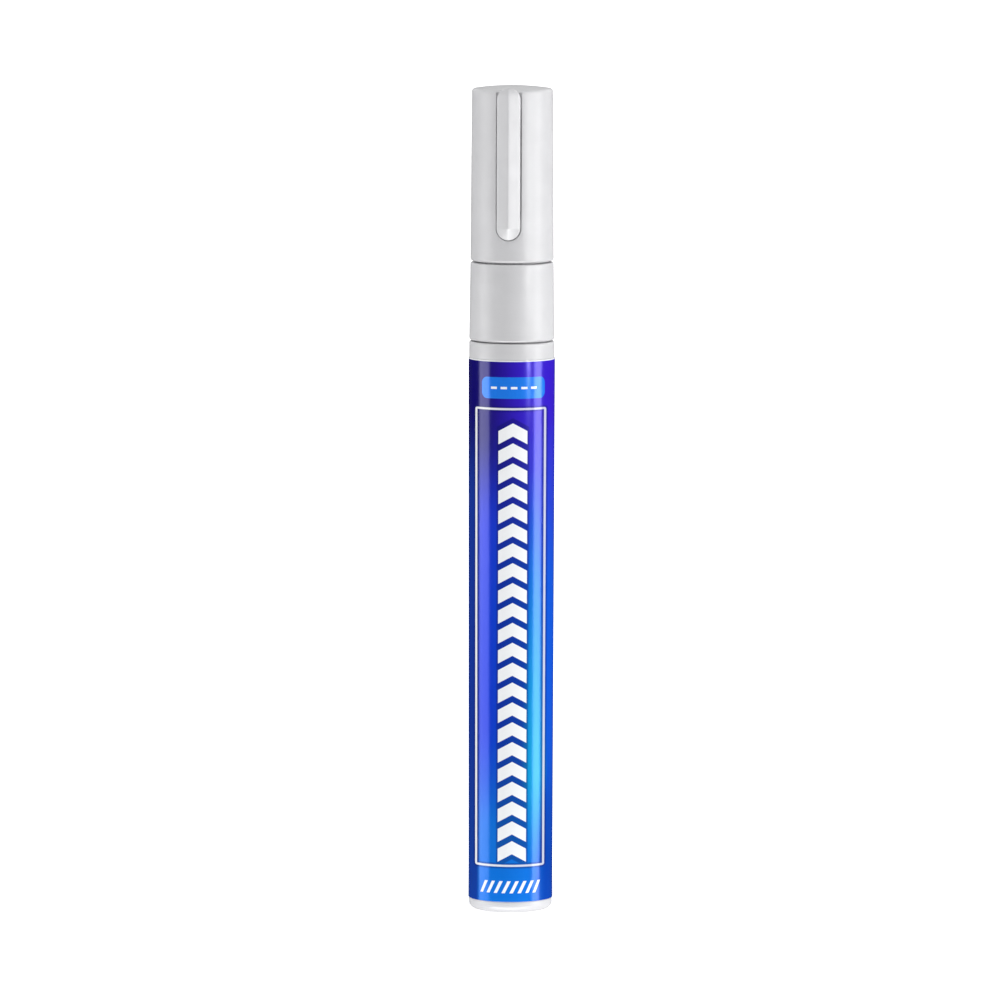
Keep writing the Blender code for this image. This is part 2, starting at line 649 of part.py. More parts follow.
def clip_ring(height, foot, top, root):
    """One cross-section of the clip: the ridged face, then the inner side."""
    face_shares = (-1, -0.55, -0.1, 0, 0.1, 0.55, 1)
    inner_shares = (1, 0.5, 0, -0.5, -1)
    full_half_width = CLIP_WIDTH / 2
    half_width = end_half_width(full_half_width, min(height - foot, top - height))
    base = math.sqrt((cap_radius(height) + CLIP_STANDOFF) ** 2 - full_half_width**2)
    ring = []
    for share in face_shares:
        across = share * half_width
        slope_share = math.hypot(across / full_half_width, CLIP_RIDGE_SOFTNESS_SHARE)
        proud = (CLIP_EDGE + CLIP_RIDGE * (1 - slope_share)) * clip_roll(height - foot, top - height)
        ring.append((across, -base - proud, height))
    inner = clip_inner_radius(height, foot, top, root)
    return ring + [wall_point(share * half_width, inner, height) for share in inner_shares]


def clip_heights(foot, top, root):
    """Heights of the clip's cross-sections, closer together at its ends, nub and root."""
    nub_shares = (-0.5, -0.3, -0.15, 0, 0.15, 0.3, 0.5)
    root_shares = (1, 0.6, 0.3, 0.1, 0)
    steps = end_steps(CLIP_WIDTH / 2)
    heights = [foot + step for step in steps]
    heights += [foot + CLIP_NUB_DISTANCE + CLIP_NUB_LENGTH * share for share in nub_shares]
    heights += [root - (CLIP_STANDOFF + RECESS_DEPTH) * share for share in root_shares]
    heights += [root + CLIP_SINK]
    heights += [top - step for step in steps]
    return sorted(heights)


def clip_shape():
    """The clip, whose root sinks into the floor of its recess. Heights from the cap's mouth."""
    top = CAP_LENGTH - CLIP_TOP_DROP
    foot = top - CLIP_LENGTH
    root = top - CLIP_ROOT_LENGTH
    heights = clip_heights(foot, top, root)
    return lofted("clip_shape", [clip_ring(height, foot, top, root) for height in heights])


def recess_shape():
    """Cutter for the shallow recess that the clip lies over. Heights from the cap's mouth."""
    outer_shares = (-1, -0.5, 0, 0.5, 1)
    radius = CLIP_WIDTH / 2 + RECESS_MARGIN
    foot = CAP_LENGTH - CLIP_TOP_DROP - CLIP_LENGTH - RECESS_MARGIN
    heights = [foot + step for step in end_steps(radius)] + [CAP_LENGTH - RECESS_TOP_DROP]
    rings = []
    for height in heights:
        half_width = end_half_width(radius, height - foot)
        outer = cap_radius(height) + OVERRUN
        floor = cap_radius(height) - RECESS_DEPTH
        ring = [wall_point(share * half_width, outer, height) for share in outer_shares]
        rings.append(ring + [wall_point(-share * half_width, floor, height) for share in outer_shares])
    return lofted("clip_recess", rings)


def make_cap(axis):
    """Drafted shell with a crowned top, a stepped bore, and the moulded clip over its recess."""
    side_top = CAP_LENGTH - CAP_CROWN
    crown_radius = (CAP_TOP_RADIUS**2 + CAP_CROWN**2) / (2 * CAP_CROWN)
    crown_angle = math.asin(CAP_TOP_RADIUS / crown_radius)
    crown_steps = [crown_angle * step / CROWN_STEPS for step in range(CROWN_STEPS)]
    crown = [
        (crown_radius * math.sin(angle), CAP_LENGTH - crown_radius * (1 - math.cos(angle)), 0)
        for angle in crown_steps
    ]
    step_height = CAP_SEAT_LENGTH + CAP_STEP_RISE
    ceiling = side_top - CAP_CEILING
    corners = [
        *crown,
        (cap_radius(side_top), side_top, CAP_EDGE_ROUND),
        (CAP_MOUTH_RADIUS, 0, LIP_ROUND),
        (CAP_BORE_RADIUS + CAP_MOUTH_CHAMFER, 0, 0),
        (CAP_BORE_RADIUS, CAP_MOUTH_CHAMFER, 0),
        (CAP_BORE_RADIUS, step_height, 0),
        (CAP_UPPER_BORE_RADIUS, step_height + CAP_BORE_STEP, 0),
        (CAP_TOP_BORE_RADIUS, ceiling, CAP_INNER_FILLET),
        (0, ceiling, 0),
    ]
    mesh = turned("cap", rounded(corners), LARGE_SEGMENTS)
    cap = add_piece("cap", mesh, "white_plastic", (0, 0, CAP_MOUTH), axis)
    combine(cap, add_tool("clip_recess", recess_shape(), cap), "DIFFERENCE")
    combine(cap, add_tool("clip_shape", clip_shape(), cap), "UNION")
    cap.modifiers.new("even_shading", "WEIGHTED_NORMAL")


def make_inner_cap(axis):
    """Sealing cup: its flange fits the cap's bore and its lip closes round the nozzle."""
    foot = CONE_TOP + SEAT_GAP
    top = CUP_TOP_FACE - foot
    flange_foot = top - CUP_FLANGE_LENGTH
    corners = [
        (0, top, 0),
        (CUP_FLANGE_RADIUS, top, CAP_INNER_FILLET),
        (CUP_FLANGE_RADIUS, flange_foot, 0),
        (CUP_SKIRT_RADIUS, flange_foot, CUP_FILLET),
        (CUP_SKIRT_RADIUS, 0, 0),
        (CUP_LIP_RADIUS, 0, 0),
        (CUP_LIP_RADIUS, CUP_LIP_LENGTH, 0),
        (CUP_BORE_RADIUS, CUP_LIP_LENGTH + CUP_LIP_STEP, 0),
        (CUP_BORE_RADIUS, top - CUP_TOP, CUP_FILLET),
        (0, top - CUP_TOP, 0),
    ]
    mesh = turned("inner_cap", rounded(corners), MIDDLE_SEGMENTS)
    add_piece("inner_cap", mesh, "soft_plastic", (0, 0, foot), axis)


def make_mixing_balls(axis):
    """Two loose steel balls side by side on the reservoir's floor."""
    centre_height = BARREL_FLOOR + SEAT_GAP + BALL_RADIUS
    for number, side in enumerate((-1, 1), start=1):
        shape = bmesh.new()
        bmesh.ops.create_uvsphere(
            shape, u_segments=BALL_SEGMENTS, v_segments=BALL_RINGS, radius=BALL_RADIUS
        )
        name = f"mixing_ball_{number}"
        place = (side * (BALL_RADIUS + BALL_GAP / 2), 0, centre_height)
        add_piece(name, finished(name, shape), "ball_steel", place, axis)


def main():
    clear_scene()
    axis = bpy.data.objects.new("marker_axis", None)
    bpy.context.scene.collection.objects.link(axis)
    make_barrel(axis)
    make_label_sleeve(axis)
    make_front_section(axis)
    make_nib(axis)
    make_valve_seal(axis)
    make_valve_cage(axis)
    make_valve_plunger(axis)
    make_valve_spring(axis)
    make_cap(axis)
    make_inner_cap(axis)
    make_mixing_balls(axis)


main()
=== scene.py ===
"""Looks of the fabric marker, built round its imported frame.

Metres, +Z up, in the frame's own axes: the marker stands on its tail on the origin, and its clip
faces -Y. A finer mesh of the same outline stands for each CAD node. Outlines are lists of
(radius, height, fillet) corners that run down the outer side of the piece.
"""

import math

import bmesh
import bpy
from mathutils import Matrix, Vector


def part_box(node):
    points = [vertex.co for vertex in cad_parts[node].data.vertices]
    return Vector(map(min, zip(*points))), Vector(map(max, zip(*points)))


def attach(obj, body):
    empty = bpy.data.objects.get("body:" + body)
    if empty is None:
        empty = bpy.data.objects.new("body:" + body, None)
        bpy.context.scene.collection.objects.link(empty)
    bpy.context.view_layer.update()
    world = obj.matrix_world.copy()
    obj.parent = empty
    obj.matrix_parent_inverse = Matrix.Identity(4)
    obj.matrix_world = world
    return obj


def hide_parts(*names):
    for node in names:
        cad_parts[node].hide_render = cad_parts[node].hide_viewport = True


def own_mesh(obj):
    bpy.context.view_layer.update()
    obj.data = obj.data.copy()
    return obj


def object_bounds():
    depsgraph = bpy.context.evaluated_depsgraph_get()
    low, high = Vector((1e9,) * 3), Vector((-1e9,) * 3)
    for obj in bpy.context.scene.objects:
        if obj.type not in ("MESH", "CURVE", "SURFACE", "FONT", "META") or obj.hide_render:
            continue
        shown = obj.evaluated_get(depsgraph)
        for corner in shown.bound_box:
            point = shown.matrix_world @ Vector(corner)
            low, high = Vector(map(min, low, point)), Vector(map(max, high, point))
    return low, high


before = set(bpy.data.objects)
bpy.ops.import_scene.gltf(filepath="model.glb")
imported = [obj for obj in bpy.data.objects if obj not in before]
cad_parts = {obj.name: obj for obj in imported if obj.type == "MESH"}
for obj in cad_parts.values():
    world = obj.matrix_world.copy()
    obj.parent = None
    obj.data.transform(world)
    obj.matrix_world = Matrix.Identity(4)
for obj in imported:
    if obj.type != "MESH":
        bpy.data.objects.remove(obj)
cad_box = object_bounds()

# Heights of the pieces, read from the frame
LENGTH = cad_box[1].z
BARREL_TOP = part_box("barrel")[1].z
LABEL_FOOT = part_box("label_sleeve")[0].z
LABEL_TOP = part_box("label_sleeve")[1].z
CAP_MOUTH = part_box("cap")[0].z
CAP_LENGTH = LENGTH - CAP_MOUTH
SPIGOT_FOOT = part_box("front_section")[0].z
NOZZLE_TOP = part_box("front_section")[1].z
NIB_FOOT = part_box("nib")[0].z
NIB_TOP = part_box("nib")[1].z
SEAL_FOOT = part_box("valve_seal")[0].z
SEAL_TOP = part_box("valve_seal")[1].z
CAGE_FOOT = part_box("valve_cage")[0].z
CAGE_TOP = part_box("valve_cage")[1].z
PIN_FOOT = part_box("valve_plunger")[0].z
STEM_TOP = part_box("valve_plunger")[1].z
SPRING_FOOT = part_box("valve_spring")[0].z
SPRING_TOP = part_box("valve_spring")[1].z
CUP_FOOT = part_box("inner_cap")[0].z
CUP_TOP_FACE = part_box("inner_cap")[1].z

# Gaps and rounds; the closings draw the two parting lines finer than the CAD's
SEAT_GAP = 0.0003
PARTING_GAP = 0.0003
MOUTH_CLOSING = 0.00004
COLLAR_CLOSING = 0.0001
PARTING_ROUND = 0.00025
LIP_ROUND = 0.00045
EDGE_ROUND = 0.00006
OVERRUN = 0.0010
BAND_FOOT = BARREL_TOP + PARTING_GAP
BAND_TOP = CAP_MOUTH - PARTING_GAP
SHOULDER = SEAL_TOP + SEAT_GAP

# Barrel and label
BARREL_TOP_RADIUS = 0.00738
BARREL_FOOT_RADIUS = 0.00718
BARREL_SOCKET_RADIUS = 0.00625
BARREL_FLOOR_RADIUS = 0.0060
BARREL_FLOOR = 0.0018
SOCKET_DEPTH = 0.0096
SOCKET_FOOT = BARREL_TOP - SOCKET_DEPTH
SOCKET_CHAMFER = 0.0003
COLLAR_HEIGHT = 0.00275
FOOT_HEIGHT = 0.00185
FOOT_ROUND = 0.0012
FLOOR_ROUND = 0.0015
LABEL_WALL = 0.00012
LABEL_PROUD = 0.0001
PANEL_DEPTH = 0.00007
PANEL_ROUND = 0.00004

# Front section
SPIGOT_RADIUS = 0.0061
SPIGOT_BEAD_RADIUS = 0.0062
SPIGOT_BEAD_FEET = (-0.00332, -0.006512)
SPIGOT_BEAD_WIDTH = 0.0008
SPIGOT_CHAMFER = 0.0004
VALVE_BORE_RADIUS = 0.0051
CAP_SEAT_RADIUS = 0.00595
CAP_SEAT_LENGTH = 0.0074
CAP_SEAT_ROUND = 0.0004
SNAP_BEAD_RADIUS = 0.00605
SNAP_BEAD_RISE = 0.004588
SNAP_BEAD_WIDTH = 0.0010
CONE_FOOT_RADIUS = 0.0052
CONE_FILLET = 0.0004
NOZZLE_ROOT_RADIUS = 0.0037
NOZZLE_TIP_RADIUS = 0.00355
NOZZLE_LENGTH = 0.0040
NOZZLE_ROUND = 0.00035
PASSAGE_RADIUS = 0.0031
PASSAGE_LENGTH = 0.0042
RETAINER_BEAD = 0.00025
RETAINER_BEAD_LENGTH = 0.0006
NIB_BORE_RADIUS = 0.00255
INK_SLOT_REACH = 0.00295
INK_SLOT_WIDTH = 0.0010

# Nib and valve
NIB_RADIUS = 0.0025
NIB_BULLET_LENGTH = 0.0034
NIB_REAR_CHAMFER = 0.0005
SEAL_HOLE_RADIUS = 0.0021
SEAL_CLEARANCE = 0.0001
SEAL_ROUND = 0.0002
CAGE_FLANGE_LENGTH = 0.0025
CAGE_FLANGE_RADIUS = 0.0050
CAGE_BODY_RADIUS = 0.0043
CAGE_BORE_RADIUS = 0.0036
CAGE_GUIDE_RADIUS = 0.00125
CAGE_FLOOR = 0.0012
CAGE_ROUND = 0.0002
WINDOW_WIDTH = 0.0020
WINDOW_LENGTH = 0.0045
WINDOW_RISE = 0.0010
PLUNGER_HEAD_DROP = 0.0021
PLUNGER_HEAD_FOOT = SEAL_FOOT - PLUNGER_HEAD_DROP
PLUNGER_HEAD_THICKNESS = 0.0015
PLUNGER_STEM_RADIUS = 0.0013
PLUNGER_HEAD_RADIUS = 0.0031
PLUNGER_LIP_RADIUS = 0.0027
PLUNGER_LIP_INNER_RADIUS = 0.0022
PLUNGER_LIP_HEIGHT = 0.0003
PLUNGER_PIN_RADIUS = 0.00115
PLUNGER_ROUND = 0.0003
SPRING_MEAN_RADIUS = 0.0022
SPRING_WIRE_RADIUS = 0.0002
SPRING_TURNS = 7.5

# Cap, clip and inner cap
CAP_MOUTH_RADIUS = 0.0072
CAP_TOP_RADIUS = 0.0070
CAP_BORE_RADIUS = 0.0061
CAP_UPPER_BORE_RADIUS = 0.0059
CAP_TOP_BORE_RADIUS = 0.00585
CAP_STEP_HEIGHT = 0.0084
CAP_CEILING = 0.0012
CAP_CROWN = 0.00055
CAP_EDGE_ROUND = 0.00055
CAP_MOUTH_CHAMFER = 0.00035
CAP_INNER_FILLET = 0.0006
CLIP_LENGTH = 0.0261
CLIP_TOP_DROP = 0.0001
CLIP_WIDTH = 0.0040
CLIP_STANDOFF = 0.00035
CLIP_EDGE = 0.00045
CLIP_EDGE_ROUND = 0.00010
CLIP_RIDGE = 0.00105
CLIP_TOP_ROLL = 0.0014
CLIP_ROLL_SHARE = 0.35
CLIP_RIDGE_SOFTNESS_SHARE = 0.05
CLIP_ROOT_LENGTH = 0.0036
CLIP_SINK = 0.0003
CLIP_TOP_ROUND = 0.0004
CLIP_NUB = 0.0005
CLIP_NUB_LENGTH = 0.0024
CLIP_NUB_DISTANCE = 0.0030
RECESS_DEPTH = 0.0003
RECESS_MARGIN = 0.00022
RECESS_TOP_DROP = 0.0009
CUP_LIP_RADIUS = 0.00375
CUP_BORE_RADIUS = 0.00385
CUP_SKIRT_RADIUS = 0.0046
CUP_FLANGE_RADIUS = 0.0058
CUP_FLANGE_LENGTH = 0.0017
CUP_TOP = 0.0009
CUP_LIP_LENGTH = 0.0018
CUP_FILLET = 0.0005

# Mixing balls
BALL_RADIUS = 0.0025
BALL_RINGS = 48

# Fineness of the meshes
LARGE_SEGMENTS = 176
SMALL_SEGMENTS = 112
FILLET_STEPS = 8
END_STEPS = 22
CROWN_STEPS = 24
BULLET_STEPS = 24
WALL_STEP = 0.0006
AXIS_MERGE = 0.000001
SMOOTH_ANGLE = math.radians(38)
WIRE_SEGMENTS = 14
SPRING_STEPS_PER_TURN = 48
CLIP_EDGE_STEPS = 6
CLIP_FACE_SHARES = (0.9, 0.75, 0.6, 0.45, 0.3, 0.2, 0.13, 0.07, 0.03)
WALL_HALF_STEPS = 8
NUB_STEPS = 20
ROOT_STEPS = 12
HEIGHT_DIGITS = 7

# Rounds of an outline: the half angle too flat to round, and the shares of a run that a round may take
FLAT_HALF_ANGLE = math.radians(88)
SHARED_RUN = 0.45
FREE_RUN = 0.95

# Camera, measured from the photograph
CAMERA_DISTANCE = 1.5
CAMERA_HEIGHT = 0.2295
CAMERA_AZIMUTH = math.radians(5.2)
CAMERA_ROLL = math.radians(0.15)
CAMERA_LENS = 313.45
CAMERA_SENSOR = 36
NEAREST_SEEN = 0.05
FURTHEST_SEEN = 50
AIM_HEIGHT = 0.07108
AIM_LEFT = 0.00189

# Set
WHITE = (1.0, 1.0, 1.0, 1.0)
WORLD_STRENGTH = 0.8
FLOOR_RADIUS = 6
FLOOR_SEGMENTS = 96
FLOOR_GREY = (0.8, 0.8, 0.8, 1.0)
CARDS_RADIUS = 2.0
CARDS_HEIGHT = 3.2
CARDS_DROP = 0.4
CARDS_SEGMENTS = 64
CARDS_STRENGTH = (0.03, 0.9)
LAMP_POWER = 4

# Ranges of the set's ramps: start and end in metres, then the strengths there where not 0 and 1
FLOOR_LIFT = (0.004, 0.06, 0.45, 1.0)
FLOOR_GLOW = (0.03, 0.008, 0.0, 0.6)
CARDS_RISE = (0.55, 1.3)
CARDS_BACK = (-0.4, 1.6)

# Lamps: azimuth, elevation, distance, size, radiance, height of the aim, and whether it lights surfaces
LAMPS = {
    "right_softbox": (74, -3, 0.5, (0.21, 0.44), 5.0, 0.075, True),
    "left_softbox": (-79, -7, 0.5, (0.30, 0.26), 3.0, 0.075, True),
    "clip_strip": (45, -3.2, 0.2, (0.024, 0.03), 44.0, 0.128, False),
    "front_low": (-4, -52, 0.6, (1.1, 0.26), 10.5, 0.075, False),
}

# Plain surfaces: spreads of the noise behind colour and gloss, and the grain's character
MOTTLE_SPREAD = (0.35, 0.65)
GLOSS_SPREAD = (0.3, 0.7)
GLOSS_FINENESS = 3
GRAIN_DETAIL = 4.0
GRAIN_ROUGHNESS = 0.6

# Further shader values of plain surfaces
WHITE_DEPTH = {
    "Specular IOR Level": 0.5,
    "Subsurface Weight": 0.4,
    "Subsurface Scale": 1.0,
    "Subsurface Radius": (0.0007, 0.0007, 0.0007),
}
SOFT_DEPTH = {"Subsurface Weight": 0.1, "Subsurface Radius": (0.002, 0.002, 0.002)}
METAL = {"Metallic": 1.0}

# Plain surfaces: two colours out of 255, mottling's scale, roughness, grain's scale and depth, and more
PLAIN_LOOKS = {
    "white_plastic": ((206, 206, 208), (203, 203, 205), 220.0, (0.35, 0.41), 3800.0, 0.000003, WHITE_DEPTH),
    "soft_plastic": ((205, 208, 211), (196, 200, 204), 260.0, (0.46, 0.58), 3000.0, 0.00001, SOFT_DEPTH),
    "nib_fibre": ((232, 230, 220), (214, 211, 198), 2600.0, (0.85, 0.95), 7000.0, 0.00006, {}),
    "seal_rubber": ((44, 44, 46), (34, 34, 36), 700.0, (0.6, 0.75), 5000.0, 0.00001, {}),
    "valve_plastic": ((196, 202, 208), (188, 194, 202), 400.0, (0.34, 0.44), 4200.0, 0.000006, {}),
    "spring_steel": ((206, 206, 208), (186, 187, 190), 900.0, (0.22, 0.34), 9000.0, 0.000004, METAL),
    "ball_steel": ((216, 216, 218), (206, 206, 209), 500.0, (0.10, 0.18), 6000.0, 0.000002, METAL),
}

# Label print, in millimetres of arc from its centre line and of height
MM_PER_M = 1000.0
PRINT_RADIUS = 7.28
PRINT_CENTRE = math.radians(3.2)
PRINT_SOFTNESS = 0.05
FRAME_HALF_ARC = 6.70
FRAME_TOP = 87.66
FRAME_FOOT = 8.3
FRAME_LINE = 0.36
FRAME_SIDE_LINE = 0.58
FRAME_CORNER = 0.2
HALO = 0.30
COLUMN_OFFSET = 0.48
COLUMN_HALF_WIDTH = 2.49
COLUMN_TOP = 85.8
COLUMN_FOOT = 9.75
CHEVRON_COUNT = 22
CHEVRON_SHARE = 0.66
CHEVRON_SLOPE = 0.55
PATCH_OFFSET = 0.65
PATCH_HALF_WIDTH = 5.9
PATCH_HEIGHT = 91.3
PATCH_HALF_HEIGHT = 1.85
PATCH_CORNER = 1.1
STITCH_PITCH = 1.75
STITCH_SHARE = 0.62
STITCH_HALF_WIDTH = 0.20
STITCH_REACH = 4.4
TICK_OFFSET = 0.2
TICK_HEIGHT = 4.55
TICK_HALF_LENGTH = 1.05
TICK_PITCH = 1.4
TICK_SHARE = 0.42
TICK_REACH = 5.6
TICK_SLANT = 0.5
MARGIN_TOP = 95.82
MARGIN_FOOT = 1.95

# Ranges of the print's ramps, in the same measures: start and end, then the shares there where not 0 and 1
FRONT_ARC = (20.0, 11.0)
MIDDLE_FALL = (90.0, 54.0)
FOOT_FALL = (36.0, 8.0)
FOOT_ARC = (2.6, 7.6)
# Painted shade: the ground darkens towards the left of the front, above the foot
PAINTED_LEFT_SHADE_HEIGHT = (84.0, 66.0)
PAINTED_LEFT_SHADE_ARC = (2.8, -5.0, 0.0, 0.8)
PAINTED_LEFT_SHADE_RISE = (14.0, 34.0)
# Painted shade at the left edge of the print's front, where the marker turns away from the light
PAINTED_EDGE_SHADE_HEIGHT = (88.0, 72.0)
PAINTED_EDGE_SHADE_ARC = (-5.4, -6.7, 0.0, 0.92)
FRAME_FADE = (-6.0, 6.6, 0.92, 0.6)

# Cyan glow on the label's ground, partly print and partly a painted highlight under the right lamp's
# reflection: its middle, and its reach to each side
GLOW_AND_HIGHLIGHT_ARC = 4.4
GLOW_AND_HIGHLIGHT_LEFT = 2.6
GLOW_AND_HIGHLIGHT_RIGHT = 3.6
GLOW_AND_HIGHLIGHT_HEIGHT = 24.0
GLOW_AND_HIGHLIGHT_DROP = 19.0
GLOW_AND_HIGHLIGHT_RISE = 58.0

# Label colours, out of 255
GROUND_TOP = (52, 24, 196)
GROUND_MIDDLE = (10, 84, 212)
GROUND_FOOT = (6, 116, 222)
GROUND_FOOT_RIGHT = (4, 66, 172)
# Painted shade towards the left of the front, darker above
PAINTED_LEFT_SHADE_TOP = (8, 4, 80)
PAINTED_LEFT_SHADE_FOOT = (10, 46, 212)
# Cyan of the glow, partly print and partly a painted highlight
GLOW_AND_HIGHLIGHT_BLUE = (8, 156, 216)
# Painted shade at the left edge of the front, darker above than at the foot
PAINTED_EDGE_SHADE_TOP = (10, 2, 106)
PAINTED_EDGE_SHADE_FOOT = (14, 52, 150)
HALO_BLUE = (12, 16, 96)
HALO_SHARE = 0.5
PATCH_BLUE = (28, 124, 236)
PRINT_WHITE = (243, 245, 247)

# Surface of the label film, whose specular level rises between two heights
CLOUD_SCALE = 90.0
CLOUD_DETAIL = 2.0
CLOUD_DRIFT = 14.0
FILM_WAVE_SCALE = 260.0
FILM_WAVE_DETAIL = 0.0
FILM_WAVE_DEPTH = 0.000004
FILM_GRAIN_SCALE = 5200.0
FILM_GRAIN_DETAIL = 2.0
FILM_GRAIN_DEPTH = 0.000001
FILM_GLOSS_SCALE = 160.0
FILM_ROUGHNESS = (0.16, 0.19)
FILM_METALLIC = 0.1
FILM_SPECULAR = (40.0, 88.0, 0.28, 0.42)


def fillet_arc(before, corner, after, fillets):
    """Points of the arc that rounds a corner, made small enough for the runs and rounds beside it."""
    to_before = before - corner
    to_after = after - corner
    half_angle = to_before.angle(to_after) / 2
    if half_angle > FLAT_HALF_ANGLE:
        return [corner]
    beside_before, radius, beside_after = fillets
    shared = SHARED_RUN * min(to_before.length, to_after.length)
    left_over = FREE_RUN * min(to_before.length - beside_before, to_after.length - beside_after)
    radius = min(radius, max(shared, left_over) * math.tan(half_angle))
    to_before.normalize()
    to_after.normalize()
    centre = corner + (to_before + to_after).normalized() * radius / math.sin(half_angle)
    first = corner + to_before * radius / math.tan(half_angle) - centre
    last = corner + to_after * radius / math.tan(half_angle) - centre
    start = math.atan2(first.y, first.x)
    turn = math.atan2(last.y, last.x) - start
    turn = (turn + math.pi) % math.tau - math.pi
    angles = [start + turn * step / FILLET_STEPS for step in range(FILLET_STEPS + 1)]
    return [centre + Vector((math.cos(angle), math.sin(angle))) * radius for angle in angles]


def rounded(corners, datum):
    """Outline points of (radius, height, fillet) corners, with a fine round at each sharp one."""
    points = [Vector((radius, height + datum)) for radius, height, _ in corners]
    fillets = [max(fillet, EDGE_ROUND) for _, _, fillet in corners]
    outline = []
    for index, corner in enumerate(points):
        if corner.x == 0:
            outline.append(corner)
            continue
        following = (index + 1) % len(points)
        near = (fillets[index - 1], fillets[index], fillets[following])
        outline += fillet_arc(points[index - 1], corner, points[following], near)
    return outline


def divided(outline, step):
    """The outline with its long runs cut into shorter ones."""
    finer = [outline[0]]
    for start, end in zip(outline, outline[1:]):
        count = max(1, math.ceil((end - start).length / step))
        finer += [start.lerp(end, index / count) for index in range(1, count + 1)]
    return finer


def finished(name, shape):
    bmesh.ops.recalc_face_normals(shape, faces=shape.faces)
    mesh = bpy.data.meshes.new(name)
    shape.to_mesh(mesh)
    shape.free()
    return smoothed(mesh)


def smoothed(mesh):
    mesh.shade_smooth()
    mesh.set_sharp_from_angle(angle=SMOOTH_ANGLE)
    return mesh


def turned(name, outline, segments):
    """A mesh turned about Z. An outline that starts on the axis also ends there."""
    shape = bmesh.new()
    points = [shape.verts.new((radius, 0, height)) for radius, height in outline]
    edges = [shape.edges.new(pair) for pair in zip(points, points[1:])]
    if outline[0][0] > 0:
        edges.append(shape.edges.new((points[-1], points[0])))
    bmesh.ops.spin(
        shape,
        geom=points + edges,
        cent=(0, 0, 0),
        axis=(0, 0, 1),
        angle=math.tau,
        steps=segments,
        use_merge=True,
    )
    bmesh.ops.remove_doubles(shape, verts=shape.verts, dist=AXIS_MERGE)
    return finished(name, shape)


def box_mesh(name, size, centre):
    shape = bmesh.new()
    bmesh.ops.create_cube(shape, size=1)
    bmesh.ops.scale(shape, verts=shape.verts, vec=size)
    bmesh.ops.translate(shape, verts=shape.verts, vec=centre)
    return finished(name, shape)


def combined(mesh, tools, operation):
    """The mesh with the tools cut out of it or joined to it."""
    piece = bpy.data.objects.new("combined", mesh)
    bpy.context.scene.collection.objects.link(piece)
    helpers = [piece]
    for tool in tools:
        helper = bpy.data.objects.new(tool.name, tool)
        bpy.context.scene.collection.objects.link(helper)
        helpers.append(helper)
        modifier = piece.modifiers.new(tool.name, "BOOLEAN")
        modifier.operation = operation
        modifier.solver = "EXACT"
        modifier.object = helper
    bpy.context.view_layer.update()
    graph = bpy.context.evaluated_depsgraph_get()
    result = bpy.data.meshes.new_from_object(piece.evaluated_get(graph))
    for helper in helpers:
        bpy.data.objects.remove(helper)
    return smoothed(result)


def add_piece(name, mesh, look, node, body):
    """A piece that stands for its CAD node, rides on its body and takes its material slot."""
    piece = bpy.data.objects.new(name, mesh)
    mesh.materials.clear()
    mesh.materials.append(look)
    bpy.context.scene.collection.objects.link(piece)
    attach(piece, body)
    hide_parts(node)
    return piece


def barrel_radius(height):
    share = height / BARREL_TOP
    return BARREL_FOOT_RADIUS + (BARREL_TOP_RADIUS - BARREL_FOOT_RADIUS) * share


def cap_radius(height):
    share = height / CAP_LENGTH
    return CAP_MOUTH_RADIUS + (CAP_TOP_RADIUS - CAP_MOUTH_RADIUS) * share


def bead(radius, foot_radius, foot, width):
    return [(foot_radius, foot + width, 0), (radius, foot + width / 2, 0), (foot_radius, foot, 0)]


def barrel_mesh():
    """Closed-end tube: bare collar, shallow label panel and rounded foot."""
    panel_top = BARREL_TOP - COLLAR_HEIGHT
    corners = [
        (0, BARREL_FLOOR, 0),
        (BARREL_FLOOR_RADIUS, BARREL_FLOOR, FLOOR_ROUND),
        (BARREL_SOCKET_RADIUS, SOCKET_FOOT, 0),
        (BARREL_SOCKET_RADIUS, BARREL_TOP - SOCKET_CHAMFER, 0),
        (BARREL_SOCKET_RADIUS + SOCKET_CHAMFER, BARREL_TOP, 0),
        (barrel_radius(BARREL_TOP), BARREL_TOP, PARTING_ROUND),
        (barrel_radius(panel_top), panel_top, PANEL_ROUND),
        (barrel_radius(panel_top) - PANEL_DEPTH, panel_top, 0),
        (barrel_radius(FOOT_HEIGHT) - PANEL_DEPTH, FOOT_HEIGHT, 0),
        (barrel_radius(FOOT_HEIGHT), FOOT_HEIGHT, PANEL_ROUND),
        (barrel_radius(0), 0, FOOT_ROUND),
        (0, 0, 0),
    ]
    return turned("barrel_shell", rounded(corners, 0), LARGE_SEGMENTS)


def label_mesh():
    """Printed film that stands slightly proud of the collar and foot."""
    top_radius = barrel_radius(LABEL_TOP) + LABEL_PROUD
    foot_radius = barrel_radius(LABEL_FOOT) + LABEL_PROUD
    corners = [
        (top_radius, LABEL_TOP, 0),
        (foot_radius, LABEL_FOOT, 0),
        (foot_radius - LABEL_WALL, LABEL_FOOT, 0),
        (top_radius - LABEL_WALL, LABEL_TOP, 0),
    ]
    return turned("label_film", rounded(corners, 0), LARGE_SEGMENTS)


